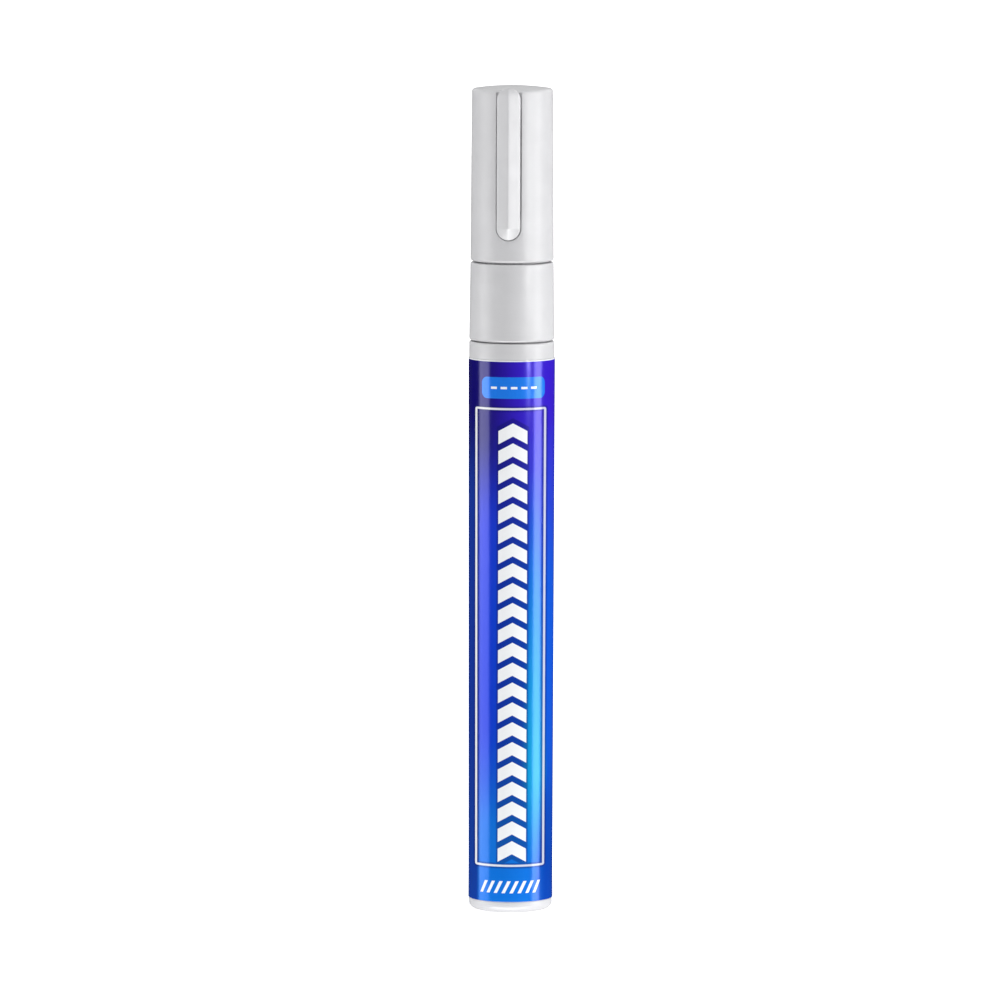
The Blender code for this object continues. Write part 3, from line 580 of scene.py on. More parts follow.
def section_mesh():
    """Band, cap seat, cone and nozzle above; spigot below; valve bore, passage and nib bore inside."""
    band = BAND_TOP - BAND_FOOT
    seat_top = band + CAP_SEAT_LENGTH
    cone_top = NOZZLE_TOP - NOZZLE_LENGTH - BAND_FOOT
    spigot_end = SPIGOT_FOOT - BAND_FOOT
    shoulder = SHOULDER - BAND_FOOT
    bead_top = CAGE_TOP - CAGE_FLANGE_LENGTH - BAND_FOOT - SEAT_GAP
    bead_foot = bead_top - RETAINER_BEAD_LENGTH
    corners = [
        (NOZZLE_TIP_RADIUS, NOZZLE_TOP - BAND_FOOT, NOZZLE_ROUND),
        (NOZZLE_ROOT_RADIUS, cone_top, CONE_FILLET),
        (CONE_FOOT_RADIUS, seat_top, CONE_FILLET),
        (CAP_SEAT_RADIUS, seat_top, CAP_SEAT_ROUND),
        *bead(SNAP_BEAD_RADIUS, CAP_SEAT_RADIUS, band + SNAP_BEAD_RISE, SNAP_BEAD_WIDTH),
        (CAP_SEAT_RADIUS, band + MOUTH_CLOSING, 0),
        (CAP_MOUTH_RADIUS, band + MOUTH_CLOSING, PARTING_ROUND),
        (BARREL_TOP_RADIUS, -COLLAR_CLOSING, LIP_ROUND),
        (SPIGOT_RADIUS, -COLLAR_CLOSING, 0),
    ]
    for foot in SPIGOT_BEAD_FEET:
        corners += bead(SPIGOT_BEAD_RADIUS, SPIGOT_RADIUS, foot, SPIGOT_BEAD_WIDTH)
    corners += [
        (SPIGOT_RADIUS, spigot_end + SPIGOT_CHAMFER, 0),
        (SPIGOT_RADIUS - SPIGOT_CHAMFER, spigot_end, 0),
        (VALVE_BORE_RADIUS, spigot_end, 0),
        (VALVE_BORE_RADIUS, bead_foot, 0),
        (VALVE_BORE_RADIUS - RETAINER_BEAD, bead_foot + RETAINER_BEAD, 0),
        (VALVE_BORE_RADIUS - RETAINER_BEAD, bead_top, 0),
        (VALVE_BORE_RADIUS, bead_top, 0),
        (VALVE_BORE_RADIUS, shoulder, 0),
        (PASSAGE_RADIUS, shoulder, 0),
        (PASSAGE_RADIUS, shoulder + PASSAGE_LENGTH, 0),
        (NIB_BORE_RADIUS, shoulder + PASSAGE_LENGTH, 0),
        (NIB_BORE_RADIUS, NOZZLE_TOP - BAND_FOOT, 0),
    ]
    mesh = turned("section_shell", rounded(corners, BAND_FOOT), LARGE_SEGMENTS)
    slot_foot = SHOULDER + PASSAGE_LENGTH - OVERRUN
    slot_top = NOZZLE_TOP + OVERRUN
    span = 2 * INK_SLOT_REACH
    centre = (0, 0, (slot_foot + slot_top) / 2)
    sizes = ((span, INK_SLOT_WIDTH), (INK_SLOT_WIDTH, span))
    slots = [box_mesh("ink_slot", (*size, slot_top - slot_foot), centre) for size in sizes]
    return combined(mesh, slots, "DIFFERENCE")


def nib_mesh():
    """Fibre rod with an elliptical bullet point and a chamfered rear end."""
    bullet_foot = NIB_TOP - NIB_BULLET_LENGTH
    angles = [math.pi / 2 * (1 - step / BULLET_STEPS) for step in range(BULLET_STEPS + 1)]
    outline = [
        Vector((NIB_RADIUS * math.cos(angle), bullet_foot + NIB_BULLET_LENGTH * math.sin(angle)))
        for angle in angles
    ]
    outline[0] = Vector((0, NIB_TOP))
    outline += [
        Vector((NIB_RADIUS, NIB_FOOT + NIB_REAR_CHAMFER)),
        Vector((NIB_RADIUS - NIB_REAR_CHAMFER, NIB_FOOT)),
        Vector((0, NIB_FOOT)),
    ]
    return turned("nib_rod", outline, SMALL_SEGMENTS)


def seal_mesh():
    outer = VALVE_BORE_RADIUS - SEAL_CLEARANCE
    corners = [
        (outer, SEAL_TOP, SEAL_ROUND),
        (outer, SEAL_FOOT, SEAL_ROUND),
        (SEAL_HOLE_RADIUS, SEAL_FOOT, SEAL_ROUND),
        (SEAL_HOLE_RADIUS, SEAL_TOP, SEAL_ROUND),
    ]
    return turned("seal_ring", rounded(corners, 0), SMALL_SEGMENTS)


def cage_mesh():
    """Cup with a flange, four windows and a guide hole in its floor."""
    height = CAGE_TOP - CAGE_FOOT
    flange_foot = height - CAGE_FLANGE_LENGTH
    corners = [
        (CAGE_FLANGE_RADIUS, height, CAGE_ROUND),
        (CAGE_FLANGE_RADIUS, flange_foot, 0),
        (CAGE_BODY_RADIUS, flange_foot, 0),
        (CAGE_BODY_RADIUS, 0, CAGE_ROUND),
        (CAGE_GUIDE_RADIUS, 0, 0),
        (CAGE_GUIDE_RADIUS, CAGE_FLOOR, 0),
        (CAGE_BORE_RADIUS, CAGE_FLOOR, CAGE_ROUND),
        (CAGE_BORE_RADIUS, height, 0),
    ]
    mesh = turned("cage_cup", rounded(corners, CAGE_FOOT), SMALL_SEGMENTS)
    span = 2 * (CAGE_BODY_RADIUS + OVERRUN)
    centre = (0, 0, CAGE_FOOT + CAGE_FLOOR + WINDOW_RISE + WINDOW_LENGTH / 2)
    sizes = ((span, WINDOW_WIDTH), (WINDOW_WIDTH, span))
    windows = [box_mesh("cage_window", (*size, WINDOW_LENGTH), centre) for size in sizes]
    return combined(mesh, windows, "DIFFERENCE")


def plunger_mesh():
    """Stem to the nib, sealing head with a raised lip, and a guide pin."""
    stem_top = STEM_TOP - PLUNGER_HEAD_FOOT
    pin_foot = PIN_FOOT - PLUNGER_HEAD_FOOT
    lip_top = PLUNGER_HEAD_THICKNESS + PLUNGER_LIP_HEIGHT
    corners = [
        (0, stem_top, 0),
        (PLUNGER_STEM_RADIUS, stem_top, PLUNGER_ROUND),
        (PLUNGER_STEM_RADIUS, PLUNGER_HEAD_THICKNESS, 0),
        (PLUNGER_LIP_INNER_RADIUS, PLUNGER_HEAD_THICKNESS, 0),
        (PLUNGER_LIP_INNER_RADIUS, lip_top, 0),
        (PLUNGER_LIP_RADIUS, lip_top, 0),
        (PLUNGER_LIP_RADIUS, PLUNGER_HEAD_THICKNESS, 0),
        (PLUNGER_HEAD_RADIUS, PLUNGER_HEAD_THICKNESS, 0),
        (PLUNGER_HEAD_RADIUS, 0, PLUNGER_ROUND),
        (PLUNGER_PIN_RADIUS, 0, PLUNGER_ROUND),
        (PLUNGER_PIN_RADIUS, pin_foot, PLUNGER_ROUND),
        (0, pin_foot, 0),
    ]
    return turned("plunger_body", rounded(corners, PLUNGER_HEAD_FOOT), SMALL_SEGMENTS)


def spring_mesh():
    """Wire swept round a helix, in rings square to it, with flat ends."""
    rise = SPRING_TOP - SPRING_FOOT - 2 * SPRING_WIRE_RADIUS
    count = round(SPRING_TURNS * SPRING_STEPS_PER_TURN)
    shape = bmesh.new()
    rings = []
    for index in range(count + 1):
        share = index / count
        angle = math.tau * SPRING_TURNS * share
        outward = Vector((math.cos(angle), math.sin(angle), 0))
        centre = outward * SPRING_MEAN_RADIUS
        centre.z = SPRING_FOOT + SPRING_WIRE_RADIUS + rise * share
        along = Vector((-outward.y, outward.x, 0)) * SPRING_MEAN_RADIUS * math.tau * SPRING_TURNS
        along.z = rise
        upward = outward.cross(along).normalized()
        ring = []
        for side in range(WIRE_SEGMENTS):
            turn = math.tau * side / WIRE_SEGMENTS
            offset = outward * math.cos(turn) + upward * math.sin(turn)
            ring.append(shape.verts.new(centre + offset * SPRING_WIRE_RADIUS))
        rings.append(ring)
    for lower, upper in zip(rings, rings[1:]):
        for side in range(WIRE_SEGMENTS):
            shape.faces.new((lower[side - 1], lower[side], upper[side], upper[side - 1]))
    shape.faces.new(rings[0])
    shape.faces.new(rings[-1])
    return finished("spring_wire", shape)


def cup_mesh():
    """Sealing cup with a flange in the cap's bore and a lip round the nozzle."""
    top = CUP_TOP_FACE - CUP_FOOT
    flange_foot = top - CUP_FLANGE_LENGTH
    lip_top = CUP_LIP_LENGTH + CUP_BORE_RADIUS - CUP_LIP_RADIUS
    corners = [
        (0, top, 0),
        (CUP_FLANGE_RADIUS, top, CAP_INNER_FILLET),
        (CUP_FLANGE_RADIUS, flange_foot, 0),
        (CUP_SKIRT_RADIUS, flange_foot, CUP_FILLET),
        (CUP_SKIRT_RADIUS, 0, 0),
        (CUP_LIP_RADIUS, 0, 0),
        (CUP_LIP_RADIUS, CUP_LIP_LENGTH, 0),
        (CUP_BORE_RADIUS, lip_top, 0),
        (CUP_BORE_RADIUS, top - CUP_TOP, CUP_FILLET),
        (0, top - CUP_TOP, 0),
    ]
    return turned("sealing_cup", rounded(corners, CUP_FOOT), SMALL_SEGMENTS)


def ball_mesh(node):
    """A ball of revolution, in its node's place."""
    low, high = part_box(node)
    centre = (low + high) / 2
    angles = [math.pi * step / BALL_RINGS for step in range(BALL_RINGS + 1)]
    outline = [(BALL_RADIUS * math.sin(angle), BALL_RADIUS * math.cos(angle)) for angle in angles]
    outline[0] = (0, BALL_RADIUS)
    outline[-1] = (0, -BALL_RADIUS)
    mesh = turned(node, outline, SMALL_SEGMENTS)
    for vertex in mesh.vertices:
        vertex.co += centre
    return mesh


def end_steps(radius):
    """Distances from a rounded end of the cross-sections that draw it."""
    return [radius * (1 - math.cos(math.pi / 2 * step / END_STEPS)) for step in range(1, END_STEPS + 1)]


def end_half_width(radius, distance):
    """Half the width of a strip with a rounded end, at a distance from that end."""
    if distance >= radius:
        return radius
    return math.sqrt(max(radius**2 - (radius - distance) ** 2, 0))


def wall_point(across, radius, height):
    """A point on the clip's side of the cap, at a distance across and one from the axis."""
    return (across, -math.sqrt(radius**2 - across**2), height)


def wall_shares():
    """Places across a curved wall, from -1 at one side to 1 at the other."""
    return [step / WALL_HALF_STEPS - 1 for step in range(2 * WALL_HALF_STEPS + 1)]


def lofted(name, rings, datum):
    """A solid whose skin joins its cross-sections, from the lowest to the highest."""
    shape = bmesh.new()
    loops = [[shape.verts.new((x, y, z + datum)) for x, y, z in ring] for ring in rings]
    for lower, upper in zip(loops, loops[1:]):
        for index in range(len(lower)):
            shape.faces.new((lower[index - 1], lower[index], upper[index], upper[index - 1]))
    shape.faces.new(loops[0])
    shape.faces.new(reversed(loops[-1]))
    return finished(name, shape)


def clip_roll(from_foot, from_top):
    """How much of the face's height is left along the sloping tip and where the top rolls off."""
    slope_share = min(from_foot / (CLIP_WIDTH / 2), 1)
    arch_share = math.sqrt(1 - (1 - min(from_top / CLIP_TOP_ROLL, 1)) ** 2)
    return CLIP_ROLL_SHARE + (1 - CLIP_ROLL_SHARE) * min(slope_share, arch_share)


def clip_inner_radius(height, foot, top, root):
    """Distance from the axis of the clip's inner side, with its nub and the curve into the recess."""
    clear = cap_radius(height) + CLIP_STANDOFF
    gap = CLIP_STANDOFF + RECESS_DEPTH
    if height > root:
        rise = max(CLIP_TOP_ROUND - (top - height), 0)
        return clear - gap - CLIP_SINK + CLIP_TOP_ROUND - math.sqrt(CLIP_TOP_ROUND**2 - rise**2)
    to_root = root - height
    if to_root < gap:
        return clear - gap + math.sqrt(gap**2 - (gap - to_root) ** 2)
    from_nub = abs(height - foot - CLIP_NUB_DISTANCE)
    if from_nub < CLIP_NUB_LENGTH / 2:
        clear -= CLIP_NUB * (1 + math.cos(math.tau * from_nub / CLIP_NUB_LENGTH)) / 2
    return clear


def clip_ring(height, foot, top, root):
    """One cross-section of the clip: the ridged face with rounded edges, then the inner side."""
    full_half_width = CLIP_WIDTH / 2
    half_width = end_half_width(full_half_width, min(height - foot, top - height))
    base = math.sqrt((cap_radius(height) + CLIP_STANDOFF) ** 2 - full_half_width**2)
    edge_round = min(CLIP_EDGE_ROUND, half_width / 2)
    turns = [math.pi / 2 * step / CLIP_EDGE_STEPS for step in range(CLIP_EDGE_STEPS + 1)]
    sides = [half_width - edge_round * (1 - math.cos(turn)) for turn in turns]
    sides += [(half_width - edge_round) * share for share in CLIP_FACE_SHARES]
    face = [-side for side in sides] + [0] + sides[::-1]
    ring = []
    for across in face:
        slope_share = math.hypot(across / full_half_width, CLIP_RIDGE_SOFTNESS_SHARE)
        proud = (CLIP_EDGE + CLIP_RIDGE * (1 - slope_share)) * clip_roll(height - foot, top - height)
        from_edge = half_width - abs(across)
        if from_edge < edge_round:
            proud -= edge_round - math.sqrt(max(edge_round**2 - (edge_round - from_edge) ** 2, 0))
        ring.append((across, -base - proud, height))
    inner = clip_inner_radius(height, foot, top, root)
    return ring + [wall_point(-share * half_width, inner, height) for share in wall_shares()]


def clip_mesh():
    """The clip, whose root sinks into the floor of its recess. Heights from the cap's mouth."""
    top = CAP_LENGTH - CLIP_TOP_DROP
    foot = top - CLIP_LENGTH
    root = top - CLIP_ROOT_LENGTH
    gap = CLIP_STANDOFF + RECESS_DEPTH
    steps = end_steps(CLIP_WIDTH / 2)
    nub_foot = foot + CLIP_NUB_DISTANCE - CLIP_NUB_LENGTH / 2
    heights = [foot + step for step in steps] + [top - step for step in steps]
    heights += [nub_foot + CLIP_NUB_LENGTH * step / NUB_STEPS for step in range(NUB_STEPS + 1)]
    turns = [math.pi / 2 * step / ROOT_STEPS for step in range(ROOT_STEPS + 1)]
    heights += [root - gap * (1 - math.cos(turn)) for turn in turns]
    heights += [root + CLIP_SINK]
    heights = sorted(set(round(height, HEIGHT_DIGITS) for height in heights))
    return lofted("clip_loft", [clip_ring(height, foot, top, root) for height in heights], CAP_MOUTH)


def recess_mesh():
    """Cutter for the shallow recess that the clip lies over. Heights from the cap's mouth."""
    radius = CLIP_WIDTH / 2 + RECESS_MARGIN
    foot = CAP_LENGTH - CLIP_TOP_DROP - CLIP_LENGTH - RECESS_MARGIN
    heights = [foot + step for step in end_steps(radius)] + [CAP_LENGTH - RECESS_TOP_DROP]
    rings = []
    for height in heights:
        half_width = end_half_width(radius, height - foot)
        outer = cap_radius(height) + OVERRUN
        floor = cap_radius(height) - RECESS_DEPTH
        ring = [wall_point(share * half_width, outer, height) for share in wall_shares()]
        rings.append(ring + [wall_point(-share * half_width, floor, height) for share in wall_shares()])
    return lofted("recess_loft", rings, CAP_MOUTH)


def cap_mesh():
    """Drafted shell with a crowned top, a stepped bore, and the moulded clip over its recess."""
    side_top = CAP_LENGTH - CAP_CROWN
    crown_radius = (CAP_TOP_RADIUS**2 + CAP_CROWN**2) / (2 * CAP_CROWN)
    crown_angle = math.asin(CAP_TOP_RADIUS / crown_radius)
    reach = 1 - CAP_EDGE_ROUND / CAP_TOP_RADIUS
    angles = [crown_angle * reach * step / CROWN_STEPS for step in range(CROWN_STEPS + 1)]
    crown = [
        Vector((crown_radius * math.sin(angle), LENGTH - crown_radius * (1 - math.cos(angle))))
        for angle in angles
    ]
    ceiling = side_top - CAP_CEILING
    step_top = CAP_STEP_HEIGHT + CAP_BORE_RADIUS - CAP_UPPER_BORE_RADIUS
    corners = [
        (crown[-1].x, crown[-1].y - CAP_MOUTH, 0),
        (cap_radius(side_top), side_top, CAP_EDGE_ROUND),
        (CAP_MOUTH_RADIUS, 0, LIP_ROUND),
        (CAP_BORE_RADIUS + CAP_MOUTH_CHAMFER, 0, 0),
        (CAP_BORE_RADIUS, CAP_MOUTH_CHAMFER, 0),
        (CAP_BORE_RADIUS, CAP_STEP_HEIGHT, 0),
        (CAP_UPPER_BORE_RADIUS, step_top, 0),
        (CAP_TOP_BORE_RADIUS, ceiling, CAP_INNER_FILLET),
        (0, ceiling, 0),
    ]
    outline = crown[:-1] + rounded(corners, CAP_MOUTH)[FILLET_STEPS // 2 :]
    mesh = turned("cap_shell", divided(outline, WALL_STEP), LARGE_SEGMENTS)
    mesh = combined(mesh, [recess_mesh()], "DIFFERENCE")
    return combined(mesh, [clip_mesh()], "UNION")


def linear(channel):
    """A screen's colour channel, out of 255, in linear light by the sRGB curve."""
    share = channel / 255
    return share / 12.92 if share <= 0.04045 else ((share + 0.055) / 1.055) ** 2.4


def colour(red, green, blue):
    return (linear(red), linear(green), linear(blue), 1.0)


def add_node(tree, kind, values=None, **settings):
    """A node with its settings and inputs; an input given as a socket is linked."""
    node = tree.nodes.new(kind)
    for name, setting in settings.items():
        setattr(node, name, setting)
    for place, value in (values or {}).items():
        if isinstance(value, bpy.types.NodeSocket):
            tree.links.new(value, node.inputs[place])
        else:
            node.inputs[place].default_value = value
    return node


def calc(tree, operation, *values):
    return add_node(tree, "ShaderNodeMath", dict(enumerate(values)), operation=operation).outputs[0]


def times(tree, product, *others):
    """The product of two or more values."""
    for other in others:
        product = calc(tree, "MULTIPLY", product, other)
    return product


def ramp(tree, value, start, end, low=0.0, high=1.0):
    """A smooth rise from low at start to high at end."""
    values = {0: value, 1: start, 2: end, 3: low, 4: high}
    return add_node(tree, "ShaderNodeMapRange", values, interpolation_type="SMOOTHSTEP").outputs[0]


def inside(tree, distance, limit, softness=PRINT_SOFTNESS):
    """1 where the distance is under the limit and 0 over it, with a soft edge."""
    return ramp(tree, distance, limit + softness, limit - softness)


def mixed(tree, factor, first, second):
    """The first colour where the factor is 0 and the second where it is 1."""
    values = {0: factor, 6: first, 7: second}
    return add_node(tree, "ShaderNodeMix", values, data_type="RGBA").outputs[2]


def noise(tree, place, scale, detail=3.0, roughness=0.5):
    values = {"Vector": place, "Scale": scale, "Detail": detail, "Roughness": roughness}
    return add_node(tree, "ShaderNodeTexNoise", values).outputs[0]


def bumps(tree, height, distance, before=None):
    """Bumps up to a distance deep, on top of the ones before."""
    values = {"Height": height, "Distance": distance, "Strength": 1.0}
    if before is not None:
        values["Normal"] = before
    return add_node(tree, "ShaderNodeBump", values).outputs[0]


def new_look(name):
    """A material with its node tree, its shader and its place coordinates in metres."""
    made = bpy.data.materials.new(name)
    made.use_nodes = True
    tree = made.node_tree
    shader = tree.nodes["Principled BSDF"]
    place = add_node(tree, "ShaderNodeTexCoord").outputs["Object"]
    return made, tree, shader, place


def set_inputs(tree, shader, values):
    for name, value in values.items():
        if isinstance(value, bpy.types.NodeSocket):
            tree.links.new(value, shader.inputs[name])
        else:
            shader.inputs[name].default_value = value


def plain_look(name, base, shade, mottle_scale, roughness, grain_scale, grain_depth, extra):
    """A moulded or drawn surface: slight mottling, uneven gloss and a fine grain."""
    made, tree, shader, place = new_look(name)
    mottle = ramp(tree, noise(tree, place, mottle_scale), *MOTTLE_SPREAD)
    gloss = noise(tree, place, mottle_scale * GLOSS_FINENESS)
    grain = noise(tree, place, grain_scale, GRAIN_DETAIL, GRAIN_ROUGHNESS)
    values = {
        "Base Color": mixed(tree, mottle, colour(*base), colour(*shade)),
        "Roughness": ramp(tree, gloss, *GLOSS_SPREAD, *roughness),
        "Normal": bumps(tree, grain, grain_depth),
    }
    set_inputs(tree, shader, {**values, **extra})
    return made


def frame_distance(tree, across, up, half_width, half_height, corner):
    """Distance from the outline of a rectangle with rounded corners, below zero inside it."""
    out_x = calc(tree, "SUBTRACT", calc(tree, "ABSOLUTE", across), half_width - corner)
    out_y = calc(tree, "SUBTRACT", calc(tree, "ABSOLUTE", up), half_height - corner)
    far_x = calc(tree, "MAXIMUM", out_x, 0.0)
    far_y = calc(tree, "MAXIMUM", out_y, 0.0)
    squares = calc(tree, "ADD", calc(tree, "POWER", far_x, 2.0), calc(tree, "POWER", far_y, 2.0))
    near = calc(tree, "MINIMUM", calc(tree, "MAXIMUM", out_x, out_y), 0.0)
    return calc(tree, "SUBTRACT", calc(tree, "ADD", calc(tree, "SQRT", squares), near), corner)


def stripe_distance(tree, value, pitch):
    """Distance from the middle of the nearest stripe, with stripes a pitch apart."""
    share = calc(tree, "FRACT", calc(tree, "DIVIDE", value, pitch))
    return calc(tree, "MULTIPLY", calc(tree, "ABSOLUTE", calc(tree, "SUBTRACT", share, 0.5)), pitch)


def reach_share(tree, value, middle, below, above):
    """How far a value is from a middle, as a share of the reach below or above it."""
    over = calc(tree, "DIVIDE", calc(tree, "SUBTRACT", value, middle), above)
    under = calc(tree, "DIVIDE", calc(tree, "SUBTRACT", middle, value), below)
    return calc(tree, "MAXIMUM", over, under)


def label_ground(tree, place, arc, height):
    """Violet above and azure below, with painted shade at the left and a cyan glow at the right of the
    front, partly print and partly painted highlight.
    """
    cloud = noise(tree, place, CLOUD_SCALE, CLOUD_DETAIL)
    drift = times(tree, calc(tree, "SUBTRACT", cloud, 0.5), CLOUD_DRIFT)
    fall = calc(tree, "ADD", height, drift)
    front = ramp(tree, calc(tree, "ABSOLUTE", arc), *FRONT_ARC)
    middle = mixed(tree, ramp(tree, fall, *MIDDLE_FALL), colour(*GROUND_TOP), colour(*GROUND_MIDDLE))
    rightward = times(tree, ramp(tree, arc, *FOOT_ARC), front)
    low = mixed(tree, rightward, colour(*GROUND_FOOT), colour(*GROUND_FOOT_RIGHT))
    ground = mixed(tree, ramp(tree, fall, *FOOT_FALL), middle, low)
    # Painted shade: the ground darkens towards the left of the front, above the foot
    painted_left_shade = mixed(tree, ramp(tree, height, *PAINTED_LEFT_SHADE_HEIGHT), colour(*PAINTED_LEFT_SHADE_TOP), colour(*PAINTED_LEFT_SHADE_FOOT))
    left_shade_share = times(tree, ramp(tree, arc, *PAINTED_LEFT_SHADE_ARC), ramp(tree, height, *PAINTED_LEFT_SHADE_RISE), front)
    ground = mixed(tree, left_shade_share, ground, painted_left_shade)
    # Cyan glow, partly print and partly a painted highlight where the right lamp's reflection falls
    side = reach_share(tree, arc, GLOW_AND_HIGHLIGHT_ARC, GLOW_AND_HIGHLIGHT_LEFT, GLOW_AND_HIGHLIGHT_RIGHT)
    rise = reach_share(tree, height, GLOW_AND_HIGHLIGHT_HEIGHT, GLOW_AND_HIGHLIGHT_DROP, GLOW_AND_HIGHLIGHT_RISE)
    glow = ramp(tree, calc(tree, "ADD", calc(tree, "POWER", side, 2.0), rise), 1.0, 0.0)
    ground = mixed(tree, glow, ground, colour(*GLOW_AND_HIGHLIGHT_BLUE))
    # Painted shade: the front of the print darkens at its left edge, where the marker turns from the light
    fading = ramp(tree, height, *PAINTED_EDGE_SHADE_HEIGHT)
    shade = mixed(tree, fading, colour(*PAINTED_EDGE_SHADE_TOP), colour(*PAINTED_EDGE_SHADE_FOOT))
    edge = times(tree, ramp(tree, arc, *PAINTED_EDGE_SHADE_ARC), front)
    return mixed(tree, edge, ground, shade)


def frame_masks(tree, arc, height):
    """The line of the white frame, and the dark halo beside it."""
    squeeze = FRAME_LINE / FRAME_SIDE_LINE
    across = times(tree, arc, squeeze)
    up = calc(tree, "SUBTRACT", height, (FRAME_TOP + FRAME_FOOT) / 2)
    half_height = (FRAME_TOP - FRAME_FOOT) / 2
    edge = frame_distance(tree, across, up, FRAME_HALF_ARC * squeeze, half_height, FRAME_CORNER)
    from_edge = calc(tree, "ABSOLUTE", edge)
    line = times(tree, inside(tree, from_edge, FRAME_LINE / 2), ramp(tree, arc, *FRAME_FADE))
    return line, inside(tree, from_edge, FRAME_LINE / 2 + HALO, HALO / 2)


def column_masks(tree, arc, height):
    """The column of chevrons, and the dark halo round it."""
    column_arc = calc(tree, "ABSOLUTE", calc(tree, "SUBTRACT", arc, COLUMN_OFFSET))
    bend = times(tree, column_arc, CHEVRON_SLOPE)
    along = calc(tree, "SUBTRACT", calc(tree, "ADD", height, bend), COLUMN_FOOT)
    run = COLUMN_TOP - COLUMN_FOOT
    pitch = run / CHEVRON_COUNT
    from_middle = calc(tree, "ABSOLUTE", calc(tree, "SUBTRACT", along, run / 2))
    chevrons = times(
        tree,
        inside(tree, stripe_distance(tree, along, pitch), pitch * CHEVRON_SHARE / 2),
        inside(tree, from_middle, run / 2),
        inside(tree, column_arc, COLUMN_HALF_WIDTH),
    )
    halo = times(
        tree,
        inside(tree, column_arc, COLUMN_HALF_WIDTH + HALO, HALO / 2),
        inside(tree, from_middle, run / 2 + HALO, HALO / 2),
    )
    return chevrons, halo


def patch_masks(tree, arc, height):
    """The light blue patch, and the running stitch on it."""
    patch_arc = calc(tree, "SUBTRACT", arc, PATCH_OFFSET)
    patch_up = calc(tree, "SUBTRACT", height, PATCH_HEIGHT)
    edge = frame_distance(tree, patch_arc, patch_up, PATCH_HALF_WIDTH, PATCH_HALF_HEIGHT, PATCH_CORNER)
    stitch_along = stripe_distance(tree, calc(tree, "ADD", patch_arc, STITCH_PITCH / 2), STITCH_PITCH)
    stitches = times(
        tree,
        inside(tree, stitch_along, STITCH_PITCH * STITCH_SHARE / 2),
        inside(tree, calc(tree, "ABSOLUTE", patch_up), STITCH_HALF_WIDTH),
        inside(tree, calc(tree, "ABSOLUTE", patch_arc), STITCH_REACH),
    )
    return inside(tree, edge, 0.0), stitches


def tick_mask(tree, arc, height):
    """The row of slanted ticks at the foot."""
    tick_up = calc(tree, "SUBTRACT", height, TICK_HEIGHT)
    tick_arc = calc(tree, "SUBTRACT", arc, TICK_OFFSET)
    slanted = calc(tree, "SUBTRACT", tick_arc, times(tree, tick_up, TICK_SLANT))
    return times(
        tree,
        inside(tree, stripe_distance(tree, slanted, TICK_PITCH), TICK_PITCH * TICK_SHARE / 2),
        inside(tree, calc(tree, "ABSOLUTE", tick_up), TICK_HALF_LENGTH),
        inside(tree, calc(tree, "ABSOLUTE", slanted), TICK_REACH),
    )


def margin_mask(tree, height):
    """The film beyond the print, above its top and below its foot."""
    return calc(
        tree,
        "MAXIMUM",
        ramp(tree, height, MARGIN_TOP - PRINT_SOFTNESS, MARGIN_TOP + PRINT_SOFTNESS),
        ramp(tree, height, MARGIN_FOOT + PRINT_SOFTNESS, MARGIN_FOOT - PRINT_SOFTNESS),
    )


def label_look():
    """Glossy printed film: a violet to azure ground, a white frame and plain sewing motifs."""
    made, tree, shader, place = new_look("label_film")
    axes = add_node(tree, "ShaderNodeSeparateXYZ", {0: place})
    angle = calc(tree, "ARCTAN2", axes.outputs[0], times(tree, axes.outputs[1], -1.0))
    arc = times(tree, calc(tree, "SUBTRACT", angle, PRINT_CENTRE), PRINT_RADIUS)
    height = times(tree, axes.outputs[2], MM_PER_M)
    ground = label_ground(tree, place, arc, height)
    whites, frame_halo = frame_masks(tree, arc, height)
    chevrons, column_halo = column_masks(tree, arc, height)
    patch, stitches = patch_masks(tree, arc, height)
    for mask in (chevrons, stitches, tick_mask(tree, arc, height), margin_mask(tree, height)):
        whites = calc(tree, "MAXIMUM", whites, mask)
    halo = times(tree, calc(tree, "MAXIMUM", frame_halo, column_halo), HALO_SHARE)
    printed = mixed(tree, halo, ground, colour(*HALO_BLUE))
    printed = mixed(tree, patch, printed, colour(*PATCH_BLUE))
    waves = noise(tree, place, FILM_WAVE_SCALE, FILM_WAVE_DETAIL)
    grain = noise(tree, place, FILM_GRAIN_SCALE, FILM_GRAIN_DETAIL)
    gloss = noise(tree, place, FILM_GLOSS_SCALE)
    values = {
        "Base Color": mixed(tree, whites, printed, colour(*PRINT_WHITE)),
        "Metallic": ramp(tree, whites, 0.0, 1.0, FILM_METALLIC, 0.0),
        "Roughness": ramp(tree, gloss, *GLOSS_SPREAD, *FILM_ROUGHNESS),
        "Specular IOR Level": ramp(tree, height, *FILM_SPECULAR),
        "Normal": bumps(tree, grain, FILM_GRAIN_DEPTH, bumps(tree, waves, FILM_WAVE_DEPTH)),
    }
    set_inputs(tree, shader, values)
    return made


def looks():
    """The materials by name."""
    made = {name: plain_look(name, *values) for name, values in PLAIN_LOOKS.items()}
    made["label_film"] = label_look()
    return made


